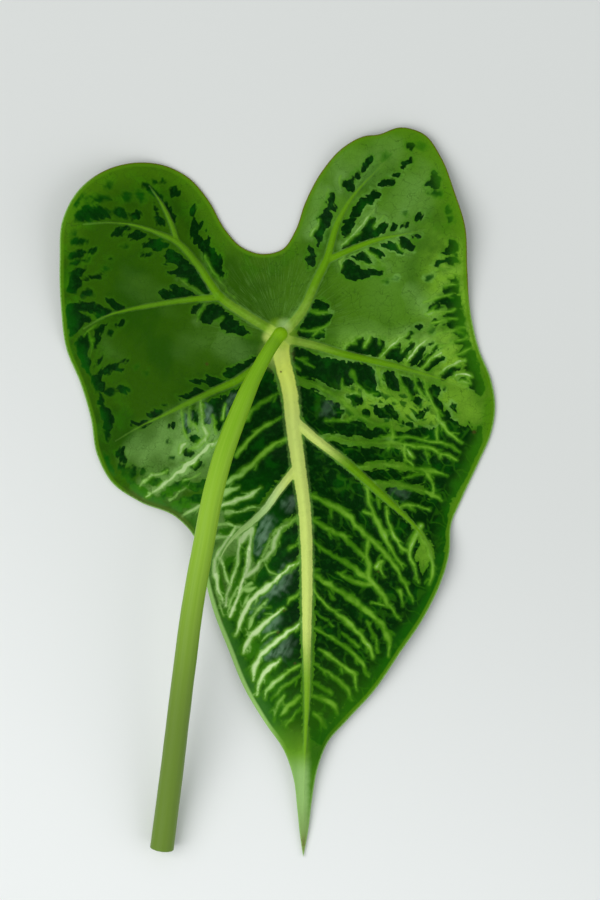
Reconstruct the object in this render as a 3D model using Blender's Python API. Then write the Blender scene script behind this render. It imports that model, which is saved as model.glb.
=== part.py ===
# A picked alocasia leaf with tattoo-like markings, laid on its face so that its ribbed underside looks up.
#
# It has two parts: the blade, one thin sheet with its ribs raised on it, and the leaf stalk (petiole)
# that springs from the underside where the ribs meet, arches over the blade and comes down on its cut end.
# X is across the leaf, Y points from the drip tip towards the two basal lobes, Z is up.
# Sizes below are in millimetres from the point where the stalk joins the blade, and the model is built in metres.
# Last of all it is moved so that the origin is the middle of its footprint, on the surface that it lies on.

import math

import bmesh
import bpy
import numpy as np
from mathutils import Matrix, Vector
from mathutils.geometry import delaunay_2d_cdt

MM = 0.001

# The margin of the blade, anticlockwise from the drip tip: right side, right lobe, notch, left lobe, left side.
TIP = (5.1, -114.8)
MARGIN = [
    TIP, (6.2, -108.9), (7.0, -102.3), (8.5, -94.4), (10.6, -89.3), (14.5, -84.9), (20.7, -78.1),
    (26.4, -69.7), (31.7, -61.8), (35.4, -54.1), (37.2, -47.7), (37.6, -41.8), (40.0, -35.9),
    (43.6, -28.2), (46.5, -21.3), (47.3, -16.1), (46.4, -9.9), (43.8, -3.3), (41.8, 5.5),
    (41.1, 14.3), (40.6, 23.5), (38.3, 31.2), (35.4, 38.9), (31.7, 44.0), (26.4, 45.5),
    (21.5, 43.9), (18.7, 43.6), (14.0, 41.2), (9.2, 35.9), (5.5, 29.0), (3.3, 22.8),
    (0.6, 18.9), (-3.7, 17.8), (-8.4, 19.3), (-12.0, 23.1), (-15.8, 29.7), (-19.9, 34.4),
    (-25.3, 37.2), (-30.8, 37.8), (-37.8, 36.1), (-44.0, 31.5), (-47.5, 24.9), (-48.2, 16.1),
    (-48.0, 5.5), (-47.0, -2.9), (-43.8, -10.8), (-41.6, -18.3), (-40.2, -26.4), (-36.9, -32.5),
    (-30.8, -36.7), (-22.9, -40.0), (-18.9, -44.2), (-16.9, -51.7), (-14.5, -60.9), (-11.4, -68.9),
    (-7.9, -77.4), (-3.3, -85.1), (0.9, -91.3), (3.0, -97.5), (3.8, -104.1), (4.4, -110.0), TIP,
]

# Each rib of the underside: its route, its half width and its height where it starts and where it ends.
RIBS = {
    "midrib": (
        [(0.2, 0.0), (0.4, -4.8), (2.1, -12.1), (2.9, -19.6), (4.3, -30.1), (5.3, -37.4), (5.9, -49.5),
         (5.9, -65.6), (5.9, -80.3), (5.5, -91.3), (5.2, -102.3), (5.1, -112.0)],
        (1.9, 0.45), (1.7, 0.35)),
    "left_basal_rib": (
        [(0.0, 0.0), (-7.3, 4.3), (-13.0, 8.3), (-18.2, 15.6), (-22.5, 20.3), (-27.3, 22.5),
         (-32.4, 24.0), (-38.3, 24.4), (-42.9, 24.0)],
        (1.1, 0.35), (1.1, 0.2)),
    "left_basal_upper_branch": (
        [(-22.5, 20.3), (-23.7, 24.0), (-25.4, 27.8), (-28.6, 32.6)], (0.55, 0.3), (0.4, 0.15)),
    "left_basal_lower_branch": (
        [(-13.0, 8.3), (-20.0, 7.7), (-27.3, 6.6), (-33.1, 5.5), (-38.3, 4.0), (-43.1, 1.3)],
        (0.7, 0.3), (0.6, 0.2)),
    "right_basal_rib": (
        [(0.5, 0.0), (4.9, 5.2), (7.9, 11.7), (10.1, 16.2), (12.8, 24.9), (15.4, 29.5), (21.5, 36.3),
         (25.3, 40.0)],
        (1.1, 0.35), (1.1, 0.2)),
    "right_basal_branch": (
        [(10.1, 16.2), (13.9, 18.0), (17.7, 19.6), (22.2, 21.1), (27.2, 22.0), (31.9, 23.1)],
        (0.7, 0.3), (0.6, 0.2)),
    "upper_right_rib": (
        [(0.8, -0.8), (8.3, -2.5), (13.9, -4.2), (19.6, -5.5), (25.3, -6.8), (31.0, -8.4), (36.7, -10.1),
         (42.7, -12.3)],
        (0.95, 0.4), (0.9, 0.2)),
    "lower_right_rib": (
        [(3.5, -19.2), (8.3, -23.3), (12.4, -26.4), (16.9, -30.1), (21.5, -34.3), (26.0, -38.5),
         (29.5, -41.9), (32.3, -45.8), (33.7, -50.6)],
        (1.1, 0.45), (1.1, 0.2)),
    "upper_left_rib": (
        [(0.0, -0.8), (-5.4, -7.2), (-9.0, -9.8), (-14.5, -12.3), (-20.0, -14.9), (-25.4, -17.6),
         (-30.9, -20.2), (-36.1, -23.3)],
        (1.0, 0.35), (1.0, 0.2)),
    "lower_left_rib": (
        [(4.2, -28.6), (-0.4, -34.3), (-3.1, -38.1), (-6.2, -41.1), (-9.8, -44.1), (-12.3, -47.5),
         (-14.1, -52.1)],
        (1.0, 0.4), (1.0, 0.2)),
}
JOINT_MOUND_RADIUS = 3.4
JOINT_MOUND_HEIGHT = 2.0

# The lie of the blade: the height of its middle line and how steeply each half falls away from that line.
MIDDLE_HEIGHT = [(60, 0.0), (19, 0.0), (1, 0.0), (-18, 2.3), (-48, 7.6), (-80, 5.2), (-100, 2.0), (-116, 0.0)]
SIDE_FALL = [(60, -0.15), (32, -0.16), (12, -0.10), (-2, -0.01), (-20, 0.08), (-45, 0.22), (-80, 0.30), (-116, 0.1)]
FOLD_ROUNDING = 7.0
QUILT_DEPTH = 1.1
QUILT_REACH = 9.0
RIPPLES = [(5, 0.6, 0.9), (8, 2.1, 0.55), (13, 4.0, 0.3)]  # waves round the margin, phase, height
RIPPLE_CENTRE = (0.0, -14.0)
RIPPLE_REACH = 50.0
THICKNESS = 0.7

OUTLINE_STEP = 1.9
RIB_STEP = 2.2
GRID_STEP = 3.0
RIB_SHOULDER = 0.62

# The stalk: points of its middle line, from the joint to the cut end, and its radius along it.
STALK_GAP = 0.3
STALK_ROUTE = [
    (0.1, 0.1, 3.05), (0.1, 0.1, 4.6), (-1.5, -2.2, 7.6), (-5.6, -9.6, 11.3), (-9.4, -18.6, 14.0),
    (-12.5, -27.5, 16.0), (-14.7, -36.3, 17.3), (-16.3, -45.1, 17.8), (-17.8, -53.1, 17.4),
    (-19.1, -61.0, 16.4), (-20.5, -71.5, 14.3), (-21.9, -82.1, 11.3), (-23.2, -92.6, 8.1),
    (-24.6, -103.0, 4.9), (-25.9, -112.6, 2.56),
]
STALK_RADII = [(0.0, 2.05), (0.25, 2.15), (0.6, 2.4), (1.0, 2.65)]
STALK_STEP = 3.2

GREEN_BLADE = (0.055, 0.19, 0.03, 1.0)
GREEN_STALK = (0.22, 0.42, 0.05, 1.0)


def clear_scene():
    for obj in list(bpy.data.objects):
        bpy.data.objects.remove(obj)


def leaf_material(name, colour, roughness):
    material = bpy.data.materials.new(name)
    material.use_nodes = True
    shader = material.node_tree.nodes["Principled BSDF"]
    shader.inputs["Base Color"].default_value = colour
    shader.inputs["Roughness"].default_value = roughness
    shader.inputs["Metallic"].default_value = 0.0
    material.diffuse_color = colour
    return material


def smooth_line(knots, step):
    """Points about one step apart on a smooth line through the knots."""
    knots = np.array(knots, float)
    along = np.r_[0.0, np.cumsum(np.linalg.norm(np.diff(knots, axis=0), axis=1))]
    slopes = np.gradient(knots, along, axis=0)
    at = np.linspace(0.0, along[-1], round(along[-1] / step) + 1)
    span = np.clip(np.searchsorted(along, at, side="right") - 1, 0, len(knots) - 2)
    width = (along[span + 1] - along[span])[:, None]
    t = ((at - along[span])[:, None]) / width
    return (
        knots[span] * (1 + 2 * t) * (1 - t) ** 2
        + knots[span + 1] * t**2 * (3 - 2 * t)
        + slopes[span] * width * t * (1 - t) ** 2
        - slopes[span + 1] * width * t**2 * (1 - t)
    )


def smooth_value(table, at):
    """A value read from a short table of (place, value) pairs, eased between them."""
    places, values = (np.array(column, float) for column in zip(*sorted(table)))
    span = np.clip(np.searchsorted(places, at, side="right") - 1, 0, len(places) - 2)
    t = np.clip((at - places[span]) / (places[span + 1] - places[span]), 0.0, 1.0)
    slopes = np.gradient(values, places)
    width = places[span + 1] - places[span]
    return (
        values[span] * (1 + 2 * t) * (1 - t) ** 2
        + values[span + 1] * t**2 * (3 - 2 * t)
        + slopes[span] * width * t * (1 - t) ** 2
        - slopes[span + 1] * width * t**2 * (1 - t)
    )


def distance_to_line(points, line):
    """How far each point is from the line, and how far along the line its nearest place is."""
    best = np.full(len(points), np.inf)
    along = np.zeros(len(points))
    start = 0.0
    for a, b in zip(line[:-1], line[1:]):
        step = b - a
        length = np.linalg.norm(step)
        t = np.clip((points - a) @ step / length**2, 0.0, 1.0)
        away = np.linalg.norm(points - (a + t[:, None] * step), axis=1)
        nearer = away < best
        best = np.where(nearer, away, best)
        along = np.where(nearer, start + t * length, along)
        start += length
    return best, along / start


def inside(points, outline):
    """Which points lie inside the closed outline, by counting the edges to the right of each."""
    crossings = np.zeros(len(points), int)
    for a, b in zip(outline, np.roll(outline, -1, axis=0)):
        straddles = (a[1] > points[:, 1]) != (b[1] > points[:, 1])
        rise = b[1] - a[1] if b[1] != a[1] else 1.0
        x = a[0] + (points[:, 1] - a[1]) * (b[0] - a[0]) / rise
        crossings += straddles & (x > points[:, 0])
    return crossings % 2 == 1


def rib_relief(points, ribs):
    """How high the ribs stand at each point, and how far the point is from the nearest rib's middle."""
    mound = np.linalg.norm(points, axis=1) / JOINT_MOUND_RADIUS
    relief = JOINT_MOUND_HEIGHT * np.clip(1.0 - mound**2, 0.0, 1.0) ** 0.8
    nearest = np.full(len(points), np.inf)
    for line, widths, heights in ribs:
        away, share = distance_to_line(points, line)
        half_width = widths[0] + (widths[1] - widths[0]) * share
        height = heights[0] + (heights[1] - heights[0]) * share
        relief = np.maximum(relief, height * np.clip(1.0 - (away / half_width) ** 2, 0.0, 1.0) ** 0.8)
        nearest = np.minimum(nearest, away)
    return relief, nearest


def lie_of_blade(points, midrib, nearest):
    """The height of the sheet's middle above the surface: folded, rippled and quilted, and flat where it touches."""
    x, y = points[:, 0], points[:, 1]
    order = np.argsort(midrib[:, 1])
    from_middle = x - np.interp(y, midrib[order, 1], midrib[order, 0])
    fall = np.sqrt(from_middle**2 + FOLD_ROUNDING**2) - FOLD_ROUNDING
    height = smooth_value(MIDDLE_HEIGHT, y) - smooth_value(SIDE_FALL, y) * fall
    reach = np.hypot(x - RIPPLE_CENTRE[0], y - RIPPLE_CENTRE[1]) / RIPPLE_REACH
    turn = np.arctan2(y - RIPPLE_CENTRE[1], x - RIPPLE_CENTRE[0])
    for waves, phase, rise in RIPPLES:
        height += rise * np.sin(waves * turn + phase) * np.clip(reach, 0.0, 1.2) ** 3
    sag = np.clip(nearest / QUILT_REACH, 0.0, 1.0)
    height -= QUILT_DEPTH * sag**2 * (3 - 2 * sag)
    return np.maximum(height, 0.0) + THICKNESS / 2


def side_lines(line, widths, shares):
    """Lines beside a rib, at the given shares of its half width, that its slopes break along."""
    tangent = np.gradient(line, axis=0)
    tangent /= np.linalg.norm(tangent, axis=1)[:, None]
    across = np.stack([-tangent[:, 1], tangent[:, 0]], axis=1)
    half_width = np.linspace(widths[0], widths[1], len(line))[:, None]
    return [line + across * half_width * share for share in shares]


def blade_layout(outline, ribs):
    """The points of the flat sheet, the outline's first, and the edges that its triangles keep to."""
    points, edges = [outline], [(i, (i + 1) % len(outline)) for i in range(len(outline))]
    count = len(outline)
    taken = np.zeros((0, 2))
    for line, widths, _ in ribs:
        shares = (-1, -RIB_SHOULDER, 0, RIB_SHOULDER, 1) if widths[0] > 1.5 else (-1, 0, 1)
        lines = side_lines(line, widths, shares)
        for side in lines:
            clear = np.linalg.norm(side, axis=1) > JOINT_MOUND_RADIUS * 1.15
            if len(taken):
                clear &= np.array([np.linalg.norm(taken - p, axis=1).min() > 0.55 for p in side])
            kept = np.flatnonzero(clear)
            points.append(side[kept])
            edges += [
                (count + i, count + i + 1) for i in range(len(kept) - 1) if kept[i + 1] == kept[i] + 1
            ]
            count += len(kept)
        taken = np.concatenate([taken, *lines])
    rings = [np.zeros((1, 2))]
    for share, sides in ((0.45, 8), (0.8, 14), (1.0, 16)):
        turn = np.arange(sides) * 2 * math.pi / sides
        ring = JOINT_MOUND_RADIUS * share * np.stack([np.cos(turn), np.sin(turn)], axis=1)
        rings.append(ring)
    rings = np.concatenate(rings)
    points.append(rings)
    low, high = outline.min(axis=0), outline.max(axis=0)
    rows = np.arange(low[1], high[1], GRID_STEP * math.sqrt(0.75))
    grid = np.concatenate([
        np.stack([np.arange(low[0], high[0], GRID_STEP) + GRID_STEP / 2 * (i % 2), np.full(
            len(np.arange(low[0], high[0], GRID_STEP)), y)], axis=1)
        for i, y in enumerate(rows)
    ])
    grid = grid[inside(grid, outline)]
    closed = np.concatenate([outline, outline[:1]])
    room = distance_to_line(grid, closed)[0] > GRID_STEP * 0.5
    fixed = np.concatenate(points[1:])
    room &= np.array([np.linalg.norm(fixed - p, axis=1).min() > GRID_STEP * 0.52 for p in grid])
    points.append(grid[room])
    return np.concatenate(points), edges


def make_blade(collection):
    outline = smooth_line(MARGIN, OUTLINE_STEP)[:-1]
    ribs = [(smooth_line(route, RIB_STEP), widths, heights) for route, widths, heights in RIBS.values()]
    points, edges = blade_layout(outline, ribs)
    flat, _, triangles, *_ = delaunay_2d_cdt(
        [Vector(p) for p in points], edges, [list(range(len(outline)))], 1, 0.02
    )
    flat = np.array([tuple(p) for p in flat])
    relief, nearest = rib_relief(flat, ribs)
    middle = lie_of_blade(flat, ribs[0][0], nearest)
    sheet = bmesh.new()
    lower = [sheet.verts.new((*p, z - THICKNESS / 2)) for p, z in zip(flat, middle)]
    for corners in triangles:
        sheet.faces.new([lower[i] for i in corners])
    raised = bmesh.ops.extrude_face_region(sheet, geom=sheet.faces[:])["geom"]
    # The copies come in no stated order, so each finds its height by its place in the sheet.
    top = {tuple(np.round(p, 4)): z for p, z in zip(flat, middle + THICKNESS / 2 + relief)}
    for vert in (item for item in raised if isinstance(item, bmesh.types.BMVert)):
        vert.co.z = top[tuple(np.round(vert.co[:2], 4))]
    bmesh.ops.recalc_face_normals(sheet, faces=sheet.faces[:])
    bmesh.ops.scale(sheet, vec=(MM, MM, MM), verts=sheet.verts[:])
    mesh = bpy.data.meshes.new("blade")
    sheet.to_mesh(mesh)
    sheet.free()
    mesh.shade_smooth()
    mesh.materials.append(leaf_material("leaf_green", GREEN_BLADE, 0.45))
    blade = bpy.data.objects.new("blade", mesh)
    collection.objects.link(blade)
    return blade


def make_stalk(collection):
    route = smooth_line(STALK_ROUTE, STALK_STEP)
    share = np.linspace(0.0, 1.0, len(route))
    radii = smooth_value(STALK_RADII, share)
    curve = bpy.data.curves.new("petiole", "CURVE")
    curve.dimensions = "3D"
    curve.bevel_depth = MM
    curve.bevel_resolution = 4
    curve.use_fill_caps = True
    spline = curve.splines.new("POLY")
    spline.points.add(len(route) - 1)
    for point, place, radius in zip(spline.points, route, radii):
        point.co = (*(place * MM), 1.0)
        point.radius = radius
    curve.materials.append(leaf_material("stalk_green", GREEN_STALK, 0.4))
    stalk = bpy.data.objects.new("petiole", curve)
    collection.objects.link(stalk)
    return stalk


def centre_on_footprint(parts):
    """Moves the parts together until the foot of their common box is centred on the origin."""
    bpy.context.view_layer.update()
    graph = bpy.context.evaluated_depsgraph_get()
    places = []
    for part in parts:
        shape = part.evaluated_get(graph)
        places += [vert.co.copy() for vert in shape.to_mesh().vertices]
        shape.to_mesh_clear()
    low, high = np.min(places, axis=0), np.max(places, axis=0)
    move = Matrix.Translation((-(low[0] + high[0]) / 2, -(low[1] + high[1]) / 2, -low[2]))
    for part in parts:
        part.data.transform(move)


def main():
    clear_scene()
    collection = bpy.data.collections.new("alocasia_leaf")
    bpy.context.scene.collection.children.link(collection)
    centre_on_footprint([make_blade(collection), make_stalk(collection)])


main()
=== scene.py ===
# %% [markdown]
# A tattooed alocasia leaf.
# The leaf lies on its face, so its ribbed underside looks up, and its stalk springs from the point where the
# ribs meet. This lesson dresses a plain solid of it: a fine sheet with its vein network, near-black blotches
# between pale veins, a thin horny margin and a juicy stalk. The plain solid gives the size and the place.

import math

import bpy
import numpy as np
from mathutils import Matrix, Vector
from mathutils.geometry import delaunay_2d_cdt
from mathutils.kdtree import KDTree


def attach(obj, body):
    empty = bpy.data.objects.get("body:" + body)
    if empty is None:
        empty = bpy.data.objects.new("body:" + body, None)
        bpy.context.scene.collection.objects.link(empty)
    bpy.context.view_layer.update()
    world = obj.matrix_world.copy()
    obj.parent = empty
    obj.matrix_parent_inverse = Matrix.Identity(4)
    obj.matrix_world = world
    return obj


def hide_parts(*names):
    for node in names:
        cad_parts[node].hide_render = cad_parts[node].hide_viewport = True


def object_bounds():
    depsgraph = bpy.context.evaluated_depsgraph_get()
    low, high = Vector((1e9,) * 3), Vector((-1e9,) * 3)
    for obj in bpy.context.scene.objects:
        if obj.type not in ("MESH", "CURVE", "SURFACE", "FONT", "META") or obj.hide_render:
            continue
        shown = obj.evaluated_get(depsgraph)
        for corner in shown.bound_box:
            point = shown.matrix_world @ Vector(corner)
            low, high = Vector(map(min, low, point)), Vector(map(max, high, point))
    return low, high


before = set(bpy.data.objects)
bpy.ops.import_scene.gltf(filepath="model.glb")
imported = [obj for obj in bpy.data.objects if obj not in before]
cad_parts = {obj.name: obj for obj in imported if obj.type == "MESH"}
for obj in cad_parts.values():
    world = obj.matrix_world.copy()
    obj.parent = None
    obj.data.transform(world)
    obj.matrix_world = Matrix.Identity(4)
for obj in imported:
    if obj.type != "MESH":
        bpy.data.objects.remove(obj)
cad_low, cad_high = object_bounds()
MM = 0.001


def size_in_mm(low, high):
    return [round((far - near) / MM, 1) for near, far in zip(low, high)]


print("nodes", sorted(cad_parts), "box in mm", size_in_mm(cad_low, cad_high))

# %% [markdown]
# The outline and the ribs.
# Everything on a leaf hangs on two sets of lines: the margin and the ribs. Both are kept as a few points in
# millimetres, measured from the point where the stalk joins, and a smooth line is drawn through them. A
# picture of the leaf could be projected instead, but lines can be bent, thickened and used again by each
# later step.

# %% The margin and the ribs, in millimetres
TIP = (5.1, -114.8)
MARGIN = [
    TIP, (6.2, -108.9), (7.0, -102.3), (8.5, -94.4), (10.6, -89.3), (14.5, -84.9), (20.7, -78.1),
    (26.4, -69.7), (31.7, -61.8), (35.4, -54.1), (37.2, -47.7), (37.6, -41.8), (40.0, -35.9), (43.6, -28.2),
    (46.5, -21.3), (47.3, -16.1), (46.4, -9.9), (43.8, -3.3), (41.8, 5.5), (41.1, 14.3), (40.6, 23.5),
    (38.3, 31.2), (35.4, 38.9), (31.7, 44.0), (26.4, 45.5), (21.5, 43.9), (18.7, 43.6), (14.0, 41.2),
    (9.2, 35.9), (5.5, 29.0), (3.3, 22.8), (0.6, 18.9), (-3.7, 17.8), (-8.4, 19.3), (-12.0, 23.1),
    (-15.8, 29.7), (-19.9, 34.4), (-25.3, 37.2), (-30.8, 37.8), (-37.8, 36.1), (-44.0, 31.5), (-47.5, 24.9),
    (-48.2, 16.1), (-48.0, 5.5), (-47.0, -2.9), (-43.8, -10.8), (-41.6, -18.3), (-40.2, -26.4),
    (-36.9, -32.5), (-30.8, -36.7), (-22.9, -40.0), (-18.9, -44.2), (-16.9, -51.7), (-14.5, -60.9),
    (-11.4, -68.9), (-7.9, -77.4), (-3.3, -85.1), (0.9, -91.3), (3.0, -97.5), (3.8, -104.1), (4.4, -110.0),
    TIP,
]

# For each rib: its route, its half width at both ends and its height at both ends.
RIBS = {
    "midrib": (
        [(0.2, 0.0), (0.4, -4.8), (2.1, -12.1), (2.9, -19.6), (4.3, -30.1), (5.3, -37.4), (5.9, -49.5),
         (5.9, -65.6), (5.9, -80.3), (5.5, -91.3), (5.2, -102.3), (5.1, -112.0)],
        (1.9, 0.45), (1.7, 0.35)),
    "left_basal_rib": (
        [(0.0, 0.0), (-7.3, 4.3), (-13.0, 8.3), (-18.2, 15.6), (-22.5, 20.3), (-27.3, 22.5),
         (-32.4, 24.0), (-38.3, 24.4), (-42.9, 24.0)],
        (1.1, 0.35), (1.1, 0.2)),
    "left_basal_upper_branch": (
        [(-22.5, 20.3), (-23.7, 24.0), (-25.4, 27.8), (-28.6, 32.6)], (0.55, 0.3), (0.4, 0.15)),
    "left_basal_lower_branch": (
        [(-13.0, 8.3), (-20.0, 7.7), (-27.3, 6.6), (-33.1, 5.5), (-38.3, 4.0), (-43.1, 1.3)],
        (0.7, 0.3), (0.6, 0.2)),
    "right_basal_rib": (
        [(0.5, 0.0), (4.9, 5.2), (7.9, 11.7), (10.1, 16.2), (12.8, 24.9), (15.4, 29.5), (21.5, 36.3),
         (25.3, 40.0)],
        (1.1, 0.35), (1.1, 0.2)),
    "right_basal_branch": (
        [(10.1, 16.2), (13.9, 18.0), (17.7, 19.6), (22.2, 21.1), (27.2, 22.0), (31.9, 23.1)],
        (0.7, 0.3), (0.6, 0.2)),
    "upper_right_rib": (
        [(0.8, -0.8), (8.3, -2.5), (13.9, -4.2), (19.6, -5.5), (25.3, -6.8), (31.0, -8.4), (36.7, -10.1),
         (42.7, -12.3)],
        (0.95, 0.4), (0.9, 0.2)),
    "lower_right_rib": (
        [(3.5, -19.2), (8.3, -23.3), (12.4, -26.4), (16.9, -30.1), (21.5, -34.3), (26.0, -38.5),
         (29.5, -41.9), (32.3, -45.8), (33.7, -50.6)],
        (1.1, 0.45), (1.1, 0.2)),
    "upper_left_rib": (
        [(0.0, -0.8), (-5.4, -7.2), (-9.0, -9.8), (-14.5, -12.3), (-20.0, -14.9), (-25.4, -17.6),
         (-30.9, -20.2), (-36.1, -23.3)],
        (1.0, 0.35), (1.0, 0.2)),
    "lower_left_rib": (
        [(4.2, -28.6), (-0.4, -34.3), (-3.1, -38.1), (-6.2, -41.1), (-9.8, -44.1), (-12.3, -47.5),
         (-14.1, -52.1)],
        (1.0, 0.4), (1.0, 0.2)),
}


def lengths_along(line):
    """How far along the line each of its points is."""
    return np.r_[0.0, np.cumsum(np.linalg.norm(np.diff(line, axis=0), axis=1))]


def eased_between(places, values, at):
    """Numbers or points, each known at its place, eased between those places with a cubic."""
    span = np.clip(np.searchsorted(places, at, side="right") - 1, 0, len(places) - 2)
    width = places[span + 1] - places[span]
    t = np.clip((at - places[span]) / width, 0.0, 1.0)
    slopes = np.gradient(values, places, axis=0)
    if values.ndim > 1:
        width, t = width[:, None], t[:, None]
    return (
        values[span] * (1 + 2 * t) * (1 - t) ** 2
        + values[span + 1] * t**2 * (3 - 2 * t)
        + slopes[span] * width * t * (1 - t) ** 2
        - slopes[span + 1] * width * t**2 * (1 - t)
    )


def smooth_line(knots, step):
    """Points about one step apart on a smooth line through the knots."""
    knots = np.array(knots, float)
    along = lengths_along(knots)
    return eased_between(along, knots, np.linspace(0.0, along[-1], round(along[-1] / step) + 1))


OUTLINE_STEP = 0.5
RIB_STEP = 0.8
SOLID_TIP_Y = -115.18
outline = smooth_line(MARGIN, OUTLINE_STEP)[:-1]
rib_lines = [smooth_line(route, RIB_STEP) for route, _, _ in RIBS.values()]
rib_lengths = [lengths_along(line)[-1] for line in rib_lines]
# The solid's box starts at the margin's leftmost place and at its drip tip, so its corner gives the joint.
joint = np.array(cad_low[:2]) / MM - [outline[:, 0].min(), SOLID_TIP_Y]
print("margin", len(outline), "points; ribs", len(rib_lines), "; joint at", joint.round(2), "mm")

# %% [markdown]
# Distances.
# Ribs, veins, margin and blotches are all placed by how far a point is from a line. A k-d tree answers that
# for a hundred thousand points in a second, where a loop over every pair would take minutes.


# %% Distance helpers
def smoothstep(low, high, value):
    t = np.clip((value - low) / (high - low), 0.0, 1.0)
    return t * t * (3 - 2 * t)


def tree_of(points):
    tree = KDTree(len(points))
    for i, point in enumerate(points):
        tree.insert((point[0], point[1], 0.0), i)
    tree.balance()
    return tree


def nearest(tree, points):
    """For each point, the index of the nearest one in the tree and how far it is."""
    found = [tree.find((x, y, 0.0))[1:] for x, y in points]
    return np.array([index for index, _ in found]), np.array([away for _, away in found])


def distance_to_line(points, line):
    """How far each point is from the line, and how far along the line its nearest place is."""
    best = np.full(len(points), np.inf)
    along = np.zeros(len(points))
    start = 0.0
    for a, b in zip(line[:-1], line[1:]):
        step = b - a
        length = np.linalg.norm(step)
        off = points - a
        t = np.clip(off @ step / length**2, 0.0, 1.0)
        away = np.hypot(off[:, 0] - t * step[0], off[:, 1] - t * step[1])
        nearer = away < best
        best = np.where(nearer, away, best)
        along = np.where(nearer, start + t * length, along)
        start += length
    return best, along / start


def inside(points, loop):
    """Which points lie inside the closed loop, by counting the edges to the right of each."""
    crossings = np.zeros(len(points), int)
    for a, b in zip(loop, np.roll(loop, -1, axis=0)):
        straddles = (a[1] > points[:, 1]) != (b[1] > points[:, 1])
        if straddles.any():
            x = a[0] + (points[:, 1] - a[1]) * (b[0] - a[0]) / (b[1] - a[1])
            crossings += straddles & (x > points[:, 0])
    return crossings % 2 == 1


def drawn_distance(points, lines, reach):
    """Which line of (x, y, half width) each point is nearest to, and how far outside; inside is below 0."""
    best, owner = np.full(len(points), reach), np.zeros(len(points), int)
    for i, line in enumerate(lines):
        swell = reach + line[:, 2].max()
        low, high = line[:, :2].min(axis=0) - swell, line[:, :2].max(axis=0) + swell
        near = np.flatnonzero(((points > low) & (points < high)).all(axis=1))
        for a, b in zip(line[:-1], line[1:]):
            step, off = b[:2] - a[:2], points[near] - a[:2]
            t = np.clip(off @ step / (step @ step), 0.0, 1.0)
            away = np.hypot(off[:, 0] - t * step[0], off[:, 1] - t * step[1]) - a[2] - t * (b[2] - a[2])
            nearer = away < best[near]
            best[near[nearer]] = away[nearer]
            owner[near[nearer]] = i
    return best, owner


def wander(points, reach, length):
    """The points moved by up to about the reach in mm, in waves of that length, so no outline is smooth."""
    x, y = (points / length * 2 * math.pi).T
    aside = np.sin(x + 1.7 * np.sin(y * 0.6 + 1.0)) + np.sin(0.7 * y - 1.3 * x + 2.0)
    up = np.sin(y * 1.1 + 1.9 * np.sin(x * 0.7 + 4.0)) + np.sin(0.8 * x + 1.2 * y + 5.0)
    return points + reach / 2 * np.column_stack([aside, up])


margin_tree = tree_of(outline)
rib_samples = np.concatenate(rib_lines)
rib_owner = np.concatenate([np.full(len(line), i) for i, line in enumerate(rib_lines)])
rib_tree = tree_of(rib_samples)
print("rib samples", len(rib_samples))

# %% [markdown]
# The vein network.
# Two kinds of vein are seen. The broad pale ones make the drawing of this leaf, so each is given by its route
# on a drawing grid, and short twigs are grown beside it. The fine ones are far too many for that: they leave
# each rib at a steady angle, bend towards the rib's own direction and stop short of the margin, or where
# another rib's ground begins. Growing them by that rule needs only a few numbers, and a fixed seed makes
# their wobble the same on each run.

# %% The broad pale veins, on the drawing grid
# Millimetres to a step of the drawing grid, and where the joint is on it.
GRID = 0.22
JOINT_ON_GRID = (280, 335)
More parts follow.
